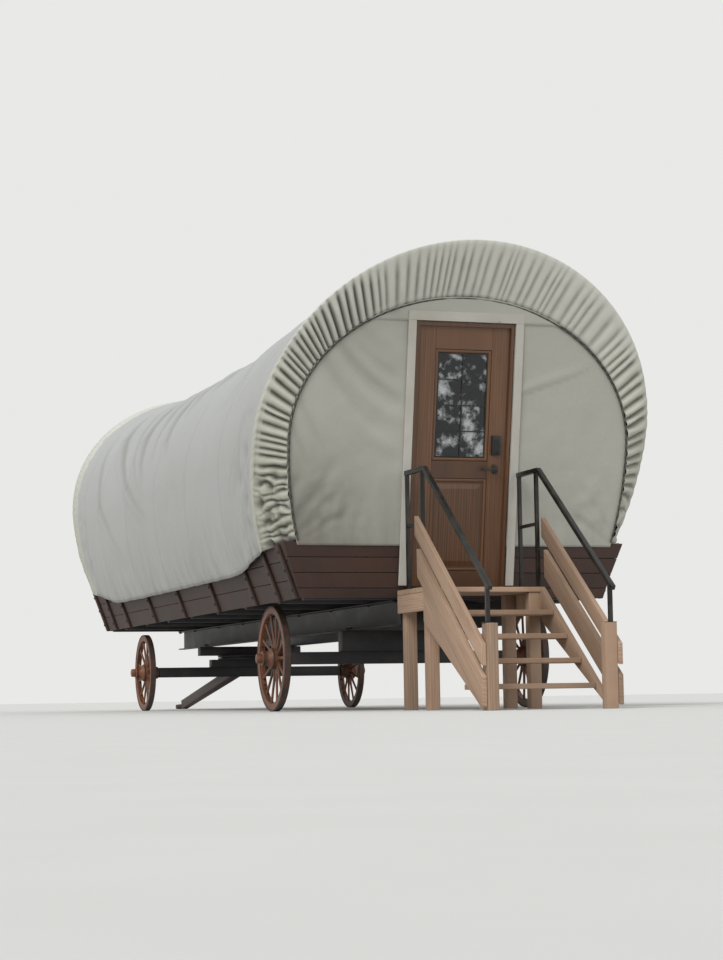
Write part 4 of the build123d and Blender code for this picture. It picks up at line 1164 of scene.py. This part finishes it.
class WAGON_OT_box_ends(bpy.types.Operator):
    """Board the ends of the box below the end canvases"""

    bl_idname = "wagon.box_ends"
    bl_label = "Box ends"

    def execute(self, context):
        gap = context.scene.wagon_sizes.plank_gap
        rear = end_boards(REAR_ROWS, gap, True)
        front = end_boards(FRONT_ROWS, gap, False)
        front.data.transform(MIRROR_X)
        front.data.flip_normals()
        for piece, end in ((rear, "rear"), (front, "front")):
            fit(piece, f"end_boards_{end}", "wagon", "box", [f"end_{end}"])
        return {"FINISHED"}


STAKE_PLACES = (-3.72, -3.24, -2.534, -1.267, 0, 1.267, 2.534, 3.24, 3.72)
STAKE_BOLTS = (0.925, 1.075, 1.215)
STAKE_THICK = 0.026
# Size of a stake's bolt, as a share of a frame bolt
STAKE_BOLT = 0.75


class WAGON_OT_stakes(bpy.types.Operator):
    """Set the stakes against the side boards and bolt them"""

    bl_idname = "wagon.stakes"
    bl_label = "Stakes"

    def execute(self, context):
        for side in ("left", "right"):
            dress(f"stakes_{side}", f"stakes_{side}_oak", "wagon", "stake_wood", "box", edge=0.005, grain=True)
        outward = (0, math.cos(FLARE), -math.sin(FLARE))
        places = []
        for x in STAKE_PLACES:
            for z in STAKE_BOLTS:
                place = facing((x, side_outer(z) + STAKE_THICK, z), outward)
                places += [place, MIRROR_Y @ place]
        bolts = spread(bolt_pattern(context.scene.wagon_sizes.bolt * STAKE_BOLT), places)
        fit(bolts, "stake_bolts", "wagon", "frame")
        return {"FINISHED"}


FLOOR_BOARDS = 52


class WAGON_OT_floor(bpy.types.Operator):
    """Lay the floor boards across the wagon"""

    bl_idname = "wagon.floor"
    bl_label = "Floor boards"

    def execute(self, context):
        gap = context.scene.wagon_sizes.plank_gap
        low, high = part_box("floor")
        pitch = (high[0] - low[0]) / FLOOR_BOARDS
        planks = []
        for place in range(FLOOR_BOARDS):
            start = low[0] + place * pitch
            planks.append(board(
                (start + gap / 4, low[1], low[2]), (start + pitch - gap / 4, high[1], high[2]), edge=0.0015))
        fit(join(planks), "floor_boards", "wagon", "floor", ["floor"])
        return {"FINISHED"}


class WAGON_OT_bows(bpy.types.Operator):
    """Ease the edges of the steel bows"""

    bl_idname = "wagon.bows"
    bl_label = "Bows"

    def execute(self, context):
        dress("bows", "bows_steel", "wagon", "bow_steel", "frame", edge=0.003, angle=40)
        return {"FINISHED"}


# Trim round the doorway: back and face in the raked plane, its foot, and the widths of its boards
TRIM_BACK, TRIM_FACE, TRIM_FOOT = 0.010, 0.028, 0.020
TRIM_SIDE, TRIM_HEAD = 0.066, 0.075
# How far the trim stands back from the edge of the doorway
TRIM_GAP = 0.003


class WAGON_OT_doorway(bpy.types.Operator):
    """Case and trim the doorway"""

    bl_idname = "wagon.doorway"
    bl_label = "Door frame"

    def execute(self, context):
        dress("door_frame", "door_casing", "wagon", "door_wood", "door", edge=0.003, grain=True)
        inner, head = JAMB_HALF + TRIM_GAP, HEAD_TOP + TRIM_GAP
        outer = inner + TRIM_SIDE
        spans = [(inner, TRIM_FOOT, outer, head), (-outer, TRIM_FOOT, -inner, head),
                 (-outer, head, outer, head + TRIM_HEAD)]
        parts = [rear_board((left, low, TRIM_BACK), (right, high, TRIM_FACE), edge=0.004)
                 for left, low, right, high in spans]
        fit(join(parts), "door_trim_painted", "wagon", "trim", ["door_trim"])
        return {"FINISHED"}


# Door leaf in the raked rear plane: face and back, half width, and its edges up the rake
LEAF_FACE, LEAF_BACK = -0.016, -0.060
LEAF_HALF, STILE_INNER = 0.381, 0.232
LEAF_LOW, PANEL_LOW, PANEL_HIGH, GLASS_LOW, GLASS_HIGH, LEAF_HIGH = 0.006, 0.128, 0.852, 0.987, 1.851, 2.038
# How far the sunk panel is set in behind, and in front
PANEL_BACK, PANEL_SUNK = 0.006, 0.012
# Beads round glass and panel: width, roundness, and how far they are set in behind, at the glass and the panel
BEAD, BEAD_EASE, BEAD_BACK, GLASS_BEAD, PANEL_BEAD = 0.027, 0.009, 0.004, 0.004, 0.003
BEAD_LAP = 0.008
# Raised field: half width, edges up the rake, back and foot of its slope, width and height of the slope
FIELD_HALF, FIELD_LOW, FIELD_HIGH = 0.19, 0.170, 0.810
FIELD_BACK, FIELD_FOOT, FIELD_SLOPE, FIELD_RISE = 0.016, 0.011, 0.038, 0.009
# Keys of the lock: middle, lowest row, steps between them, and their radius, height, roundness and place outward
LOCK_X, KEY_LOW, KEY_ACROSS, KEY_UP = 0.290, 1.070, 0.026, 0.022
KEY_RADIUS, KEY_HIGH, KEY_EASE, KEY_OUT = 0.0075, 0.004, 0.0012, 0.0255


def leaf_frame():
    """Stiles, rails, sunk panel and beads of the door leaf."""
    # columns: left, low, right, high
    spans = [
        (STILE_INNER, LEAF_LOW, LEAF_HALF, LEAF_HIGH), (-LEAF_HALF, LEAF_LOW, -STILE_INNER, LEAF_HIGH),
        (-STILE_INNER, LEAF_LOW, STILE_INNER, PANEL_LOW), (-STILE_INNER, PANEL_HIGH, STILE_INNER, GLASS_LOW),
        (-STILE_INNER, GLASS_HIGH, STILE_INNER, LEAF_HIGH)]
    parts = [rear_board((left, low, LEAF_BACK), (right, high, LEAF_FACE), edge=0.003)
             for left, low, right, high in spans]
    parts.append(rear_board((-STILE_INNER, PANEL_LOW, LEAF_BACK + PANEL_BACK),
                            (STILE_INNER, PANEL_HIGH, LEAF_FACE - PANEL_SUNK), edge=0.002))
    inner = STILE_INNER - BEAD
    lap = inner + BEAD_LAP
    for low, high, sunk in ((GLASS_LOW, GLASS_HIGH, GLASS_BEAD), (PANEL_LOW, PANEL_HIGH, PANEL_BEAD)):
        for left, foot, right, top in (
                (-STILE_INNER, low, -inner, high), (inner, low, STILE_INNER, high),
                (-lap, low, lap, low + BEAD), (-lap, high - BEAD, lap, high)):
            parts.append(rear_board(
                (left, foot, LEAF_BACK + BEAD_BACK), (right, top, LEAF_FACE - sunk), edge=BEAD_EASE))
    return parts


def raised_field():
    """The raised field of the panel, with a slope all round."""
    field = board((-FIELD_HALF, FIELD_LOW, LEAF_FACE - FIELD_BACK),
                  (FIELD_HALF, FIELD_HIGH, LEAF_FACE - FIELD_FOOT), edge=0.0005)

    def lift():
        bpy.ops.mesh.inset(thickness=FIELD_SLOPE, depth=0)
        bpy.ops.transform.translate(value=(0, 0, FIELD_RISE))

    with_faces(field, lambda face: face.normal.z > 0.99, lift)
    lay_grain(field, (0, 1, 0))
    field.data.transform(REAR)
    return field


class WAGON_OT_door(bpy.types.Operator):
    """Join the door leaf with its raised panel, and fit its glass, leading, lock and hinges"""

    bl_idname = "wagon.door"
    bl_label = "Door"

    def execute(self, context):
        leaf = join([*leaf_frame(), raised_field()])
        fit(leaf, "door_leaf_joined", "door", "door", ["door_leaf"])
        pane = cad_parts["door_glass"]
        pane.data.materials.clear()
        pane.data.materials.append(finish("glass"))
        dress("door_leading", "door_leading_came", "door", "leading", "rail", edge=0.002)
        dress("door_hinges", "door_butts", "door", "lock", "rail", edge=0.0008, angle=50)
        key = primitive("cylinder", vertices=16, radius=KEY_RADIUS, depth=KEY_HIGH, location=(0, 0, 0))
        bevel_all(key, KEY_EASE, 2)
        places = [(LOCK_X + side * KEY_ACROSS / 2, KEY_LOW + KEY_UP * row, LEAF_FACE + KEY_OUT)
                  for row in range(5) for side in (-1, 1)]
        keypad = spread(key, [REAR @ Matrix.Translation(place) for place in places])
        lock = join([eased_solid("door_lock", edge=0.005, segments=3), keypad])
        fit(lock, "door_keypad_lock", "door", "rail", ["door_lock"])
        return {"FINISHED"}


# columns: wheel, place along the wagon, side, radius, spokes
WHEELS = [
    ("rear_left", -2.5, 1, 0.430, 14),
    ("rear_right", -2.5, -1, 0.430, 14),
    ("front_left", 2.5, 1, 0.390, 12),
    ("front_right", 2.5, -1, 0.390, 12),
]
WHEEL_Y = 1.110
FELLOE_DEEP, FELLOE_HALF = 0.052, 0.025
TYRE_THICK, TYRE_HALF = 0.012, 0.028
# Worn edge of a tyre: how far it goes down from the tread, and in from the side
TYRE_WORN_DOWN, TYRE_WORN_IN = 0.003, 0.004
# Size of a felloe's bolt, as a share of a frame bolt
FELLOE_BOLT = 0.55
FIT_GAP = 0.0002
# Steps round a whole nave or tyre, and along one felloe
NAVE_STEPS, TYRE_STEPS, FELLOE_STEPS = 40, 96, 10
# Turn of a felloe's two bolts from its middle, and of the open joint between felloes
BOLT_TURN, JOINT_TURN = 0.055, 0.0028

# Turned nave from its inner end to its cap
# columns: radius, place along the axle
NAVE = [
    (0.0305, -0.0995), (0.0305, -0.128), (0.050, -0.130), (0.057, -0.128), (0.060, -0.122), (0.060, -0.098),
    (0.0575, -0.096), (0.060, -0.080), (0.068, -0.068), (0.078, -0.060), (0.083, -0.050), (0.085, -0.036),
    (0.085, 0.014), (0.083, 0.026), (0.077, 0.036), (0.068, 0.044), (0.060, 0.056), (0.058, 0.078),
    (0.0595, 0.082), (0.0595, 0.102), (0.056, 0.105), (0.040, 0.106), (0.040, 0.140), (0.037, 0.147),
    (0.030, 0.150), (0.0005, 0.150),
]
# Where spokes start in the nave, and how far they reach into the felloes
SPOKE_START, SPOKE_TENON = 0.084, 0.002
# Iron bands on the nave
# columns: radius, start and end along the axle
BANDS = [(0.0615, -0.124, -0.100), (0.087, -0.052, -0.038), (0.087, 0.012, 0.026), (0.0615, 0.084, 0.101)]

# columns: share of the spoke's length, width, thickness
SPOKE = [(0.0, 0.034, 0.026), (0.14, 0.033, 0.026), (0.30, 0.027, 0.022), (0.75, 0.024, 0.020),
         (0.93, 0.026, 0.021), (1.0, 0.029, 0.023)]
# How far a spoke's foot is set in from the plane of the rim
SPOKE_DISH = 0.018


def band_profile(radius, start, end):
    """Half profile of a flat iron band round a nave."""
    inner, ease = radius - 0.006, 0.001
    return [(inner, start), (radius - ease, start), (radius, start + ease), (radius, end - ease),
            (radius - ease, end), (inner, end), (inner, start)]


def spoke_pattern(start, end):
    """One spoke pointing up: square at the nave, shaved oval along its length, flared at its foot."""
    spoke = primitive("cylinder", vertices=12, radius=0.5, depth=1, location=(0, 0, 0))
    in_edit(spoke, lambda: bpy.ops.mesh.subdivide(number_cuts=1))
    spoke.data.transform(Matrix.Translation((0, 0, 0.5)))
    shares, widths, thicks = zip(*SPOKE)
    for share in shares[1:-1]:
        in_edit(spoke, lambda share=share: bpy.ops.mesh.bisect(plane_co=(0, 0, share), plane_no=(0, 0, 1)))

    def shave(point):
        share = point.z
        square = 1 + 0.12 * (1 - min(1, share / 0.2))
        return (point.x * np.interp(share, shares, widths) * square,
                point.y * np.interp(share, shares, thicks) * square - SPOKE_DISH * (1 - share),
                start + share * (end - start))

    bend_points(spoke, shave)
    lay_grain(spoke, (0, 0, 1))
    smooth_below(spoke, 40)
    return spoke


def felloe_pattern(inner, outer, step):
    """One felloe that spans two spokes, from one joint to the next."""
    half, ease, arris = FELLOE_HALF, 0.004, 0.001
    profile = [(inner, -half + ease), (inner + ease, -half), (outer - arris, -half), (outer, -half + arris),
               (outer, half - arris), (outer - arris, half), (inner + ease, half), (inner, half - ease),
               (inner, -half + ease)]
    felloe = turned(profile, FELLOE_STEPS, step - JOINT_TURN)
    mesh = felloe.data
    mesh.transform(Matrix.Rotation(math.pi / 2 + JOINT_TURN / 2, 4, "Y"))
    layer = mesh.uv_layers.active
    shift = TIMBER.uniform(0, 30)
    # Sawn from a curved billet, so its grain follows the rim
    for loop in mesh.loops:
        point = mesh.vertices[loop.vertex_index].co
        turn = math.atan2(point.x, point.z)
        layer.data[loop.index].uv = (shift + turn * outer, point.y + math.hypot(point.x, point.z))
    return felloe


class WAGON_OT_wheels(bpy.types.Operator):
    """Build the spoked wheels with turned naves, felloes and shrunk tyres"""

    bl_idname = "wagon.wheels"
    bl_label = "Wheels"

    def execute(self, context):
        bolt = context.scene.wagon_sizes.bolt * FELLOE_BOLT
        for name, x, side, radius, spokes in WHEELS:
            place = Matrix.Translation((x, side * WHEEL_Y, radius))
            if side < 0:
                place = place @ Matrix.Rotation(math.pi, 4, "Z")
            body = "wheel_" + name
            outer = radius - TYRE_THICK - FIT_GAP
            inner = outer - FELLOE_DEEP
            step = 4 * math.pi / spokes

            nave = turned(NAVE, NAVE_STEPS)
            nave.data.transform(place)
            fit(nave, "nave_" + name, body, "wheel", ["hub_" + name])
            irons = join([turned(band_profile(*band), NAVE_STEPS) for band in BANDS])
            irons.data.transform(place)
            fit(irons, "nave_irons_" + name, body, "iron")

            turns = [Matrix.Rotation(step / 2 * (count + 0.5), 4, "Y") for count in range(spokes)]
            parts = [spread(spoke_pattern(SPOKE_START, inner + SPOKE_TENON), turns)]
            for count in range(spokes // 2):
                felloe = felloe_pattern(inner, outer, step)
                felloe.data.transform(Matrix.Rotation(step * count, 4, "Y"))
                parts.append(felloe)
            wood = join(parts)
            wood.data.transform(place)
            fit(wood, "spokes_" + name, body, "wheel", ["wheel_" + name])

            bore, half = outer + FIT_GAP, TYRE_HALF
            shoulder, tread = radius - TYRE_WORN_DOWN, half - TYRE_WORN_IN
            tyre = turned([
                (bore, -half), (shoulder, -half), (radius, -tread), (radius, tread), (shoulder, half),
                (bore, half), (bore, -half)], TYRE_STEPS)
            bolts = []
            for count in range(spokes // 2):
                for shift in (-BOLT_TURN, BOLT_TURN):
                    angle = step * count + shift
                    outward = Vector((-math.sin(angle), 0, -math.cos(angle)))
                    bolts.append(facing(outward * (inner + 0.0005), -outward))
            iron = join([tyre, spread(bolt_pattern(bolt), bolts)])
            iron.data.transform(place)
            fit(iron, "tyre_iron_" + name, body, "iron", ["tyre_" + name])
        return {"FINISHED"}


# columns: solid, piece, body, eased edge
STEELS = [
    ("frame_rails", "rail_channels", "wagon", 0.004),
    ("cross_members", "cross_channels", "wagon", 0.004),
    ("rear_axle", "rear_axle_beam", "wagon", 0.006),
    ("rear_bolster", "rear_bolster_block", "wagon", 0.006),
    ("front_bolster", "front_bolster_plate", "wagon", 0.005),
    ("front_axle", "front_axle_beam", "front_gear", 0.006),
    ("turntable", "turntable_plate", "front_gear", 0.004),
]
# Middle lines of the rails, and the bolts up through their flanges and down into the bolsters
RAIL_Y = (-0.462, 0.462)
CROSS_PLACES = (-3.7, -3.02, -1.98, -0.99, 0, 0.99, 1.98, 3.02, 3.7)
CROSS_BOLT_Z = 0.8395
BOLSTER_PLACES = (-2.5, 2.5)
BOLSTER_BOLT_Z = 0.6645
BOLSTER_BOLT_STEPS = (-0.04, 0.04)


class WAGON_OT_running_gear(bpy.types.Operator):
    """Ease the rails, cross members, axles, bolsters and turntable and bolt them together"""

    bl_idname = "wagon.running_gear"
    bl_label = "Running gear"

    def execute(self, context):
        for node, name, body, edge in STEELS:
            dress(node, name, body, "frame_steel", "frame", edge=edge)
        places = [facing((x, y, CROSS_BOLT_Z), (0, 0, -1)) for x in CROSS_PLACES for y in RAIL_Y]
        places += [facing((x + step, y, BOLSTER_BOLT_Z), (0, 0, 1))
                   for x in BOLSTER_PLACES for y in RAIL_Y for step in BOLSTER_BOLT_STEPS]
        bolts = spread(bolt_pattern(context.scene.wagon_sizes.bolt), places)
        fit(bolts, "frame_bolts", "wagon", "frame")
        return {"FINISHED"}


class WAGON_OT_tongue(bpy.types.Operator):
    """Shape the hounds and the tongue with its towing eye"""

    bl_idname = "wagon.tongue"
    bl_label = "Tongue"

    def execute(self, context):
        dress("hounds", "hounds_oak", "front_gear", "tongue_wood", "box", edge=0.006, grain=True)
        dress("tongue_pole", "tongue_pole_oak", "tongue", "tongue_wood", "box", edge=0.010, grain=True)
        dress("tongue_eye", "tongue_eye_forged", "tongue", "eye_steel", "iron", edge=0.006, segments=3)
        return {"FINISHED"}


# Landing before the door and the steps below it: ends, half width, top and thickness of the boards
LANDING_NOSE, LANDING_WALL, LANDING_HALF, LANDING_TOP = -4.44, -3.84, 0.490, 0.915
STAIR_THICK = 0.038
STAIR_GAP = 0.005
STEP_RISE, STEP_GOING, STEP_NOSING, STEP_HALF = 0.183, 0.250, 0.010, 0.451
# Feet of the handrail posts: place along the stairs and height
POST_FEET = ((-4.166, 0.916), (-4.38, 0.916), (-5.694, 0.6005))
POST_Y = (-0.46, 0.46)
PLATE_HALF, PLATE_THICK = 0.034, 0.005


class WAGON_OT_stairs(bpy.types.Operator):
    """Build the stairs with boarded landing, treads, stringers and guards"""

    bl_idname = "wagon.stairs"
    bl_label = "Stairs"

    def execute(self, context):
        half_gap = STAIR_GAP / 2
        pitch = (LANDING_WALL - LANDING_NOSE) / 4
        # columns: start, end, half width, top, eased edge
        spans = []
        for count in range(4):
            start = LANDING_NOSE + count * pitch
            spans.append((start + half_gap, start + pitch - half_gap, LANDING_HALF, LANDING_TOP, 0.004))
        for count in range(1, 5):
            level = LANDING_TOP - count * STEP_RISE
            nose = LANDING_NOSE - count * STEP_GOING
            heel = nose + STEP_GOING + STEP_NOSING
            middle = nose + (STEP_GOING + STEP_NOSING) / 2
            spans += [(nose, middle - half_gap, STEP_HALF, level, 0.005),
                      (middle + half_gap, heel, STEP_HALF, level, 0.005)]
        planks = [board((start, -half, top - STAIR_THICK), (end, half, top), edge)
                  for start, end, half, top, edge in spans]
        fit(join(planks), "stair_planks", "wagon", "stair", ["stair_treads"])
        dress("stair_stringers", "stair_strings_and_posts", "wagon", "stair_wood", "stair", edge=0.004, grain=True)
        dress("stair_guards", "stair_guards_and_newels", "wagon", "stair_wood", "stair", edge=0.005, grain=True)
        rails = [eased_solid("handrails", edge=0.006, segments=3)]
        for x, z in POST_FEET:
            for y in POST_Y:
                rails.append(board((x - PLATE_HALF, y - PLATE_HALF, z),
                                   (x + PLATE_HALF, y + PLATE_HALF, z + PLATE_THICK), edge=0.001))
        fit(join(rails), "handrails_coated", "wagon", "rail", ["handrails"])
        return {"FINISHED"}


# columns: name, direction that the light comes from, strength, width of the source in degrees
LAMPS = [("key", (-0.60, 0.62, 0.70), 1.70, 34), ("fill", (-0.8, -0.6, 0.1), 0.45, 60)]
AIR_STRENGTH = 0.62
FLOOR_SIZE, FAR_CLIP, LAMP_AWAY = 400, 500, 10
CAMERA_PLACE = (-19.85, 5.88, 0.10)
CAMERA_AIM = (-2.95, 0.48, 1.86)
CAMERA_ROLL = math.radians(-0.87)
LENS_ANGLE = math.radians(18.7)


def studio_air():
    """A world that lights softly, and is seen as pale paper directly, mirrored and through glass."""
    world, node = blank("studio_air", "worlds")
    rays = node("LightPath")
    soft = node("Background", {"Color": (1.0, 1.0, 1.0, 1.0), "Strength": AIR_STRENGTH})
    paper = node("Background", {"Color": linear("#e9e9e7")})
    either = node("Math", {
        0: rays.outputs["Is Camera Ray"], 1: rays.outputs["Is Glossy Ray"]}, operation="MAXIMUM")
    seen = node("Math", {0: either, 1: rays.outputs["Is Transmission Ray"]}, operation="MAXIMUM")
    mixed = node("MixShader", {0: seen, 1: soft, 2: paper})
    node("OutputWorld", {"Surface": mixed})
    return world


class WAGON_OT_stage(bpy.types.Operator):
    """Set the pale floor, the soft studio light and the camera"""

    bl_idname = "wagon.stage"
    bl_label = "Stage"

    def execute(self, context):
        scene = context.scene
        floor = primitive("plane", size=FLOOR_SIZE, location=(0, 0, 0))
        floor.name = "studio_floor"
        floor.data.materials.append(finish("paper"))
        scene.world = studio_air()
        for name, direction, strength, width in LAMPS:
            data = bpy.data.lights.new("softbox_" + name, "SUN")
            data.energy = strength
            data.angle = math.radians(width)
            lamp = bpy.data.objects.new("softbox_" + name, data)
            scene.collection.objects.link(lamp)
            lamp.location = Vector(direction) * LAMP_AWAY
            lamp.rotation_euler = (-Vector(direction)).to_track_quat("-Z", "Y").to_euler()
        lens = bpy.data.cameras.new("camera")
        lens.sensor_fit = "HORIZONTAL"
        lens.angle = LENS_ANGLE
        lens.clip_end = FAR_CLIP
        camera = bpy.data.objects.new("camera", lens)
        scene.collection.objects.link(camera)
        camera.location = CAMERA_PLACE
        sight = Vector(CAMERA_AIM) - camera.location
        camera.rotation_euler = sight.to_track_quat("-Z", "Y").to_euler()
        camera.rotation_euler.rotate_axis("Z", CAMERA_ROLL)
        scene.camera = camera
        scene.view_settings.view_transform = "Standard"
        return {"FINISHED"}


class WAGON_PT_panel(bpy.types.Panel):
    """Sizes, colours and steps of the covered wagon cabin"""

    bl_idname = "WAGON_PT_panel"
    bl_label = "Covered wagon cabin"
    bl_space_type = "VIEW_3D"
    bl_region_type = "UI"
    bl_category = "Wagon"

    def draw(self, context):
        column = self.layout.column()
        for settings in (context.scene.wagon_sizes, context.scene.wagon_colours):
            for name in settings.bl_rna.properties.keys():
                if name not in ("rna_type", "name"):
                    column.prop(settings, name)
        for step in STEPS:
            column.operator(step.bl_idname)


STEPS = (
    WAGON_OT_stage, WAGON_OT_cover, WAGON_OT_hoods, WAGON_OT_end_canvases, WAGON_OT_drawcords, WAGON_OT_bows,
    WAGON_OT_box_sides, WAGON_OT_box_ends, WAGON_OT_stakes, WAGON_OT_floor, WAGON_OT_doorway, WAGON_OT_door,
    WAGON_OT_wheels, WAGON_OT_running_gear, WAGON_OT_tongue, WAGON_OT_stairs,
)
CLASSES = (WagonColours, WagonSizes, *STEPS, WAGON_PT_panel)


def register():
    for item in CLASSES:
        bpy.utils.register_class(item)
    bpy.types.Scene.wagon_colours = bpy.props.PointerProperty(type=WagonColours)
    bpy.types.Scene.wagon_sizes = bpy.props.PointerProperty(type=WagonSizes)


def unregister():
    del bpy.types.Scene.wagon_sizes
    del bpy.types.Scene.wagon_colours
    for item in reversed(CLASSES):
        bpy.utils.unregister_class(item)


def main():
    """Build every piece in order."""
    register()
    for step in STEPS:
        group, action = step.bl_idname.split(".")
        getattr(getattr(bpy.ops, group), action)()


if __name__ == "__main__":
    main()
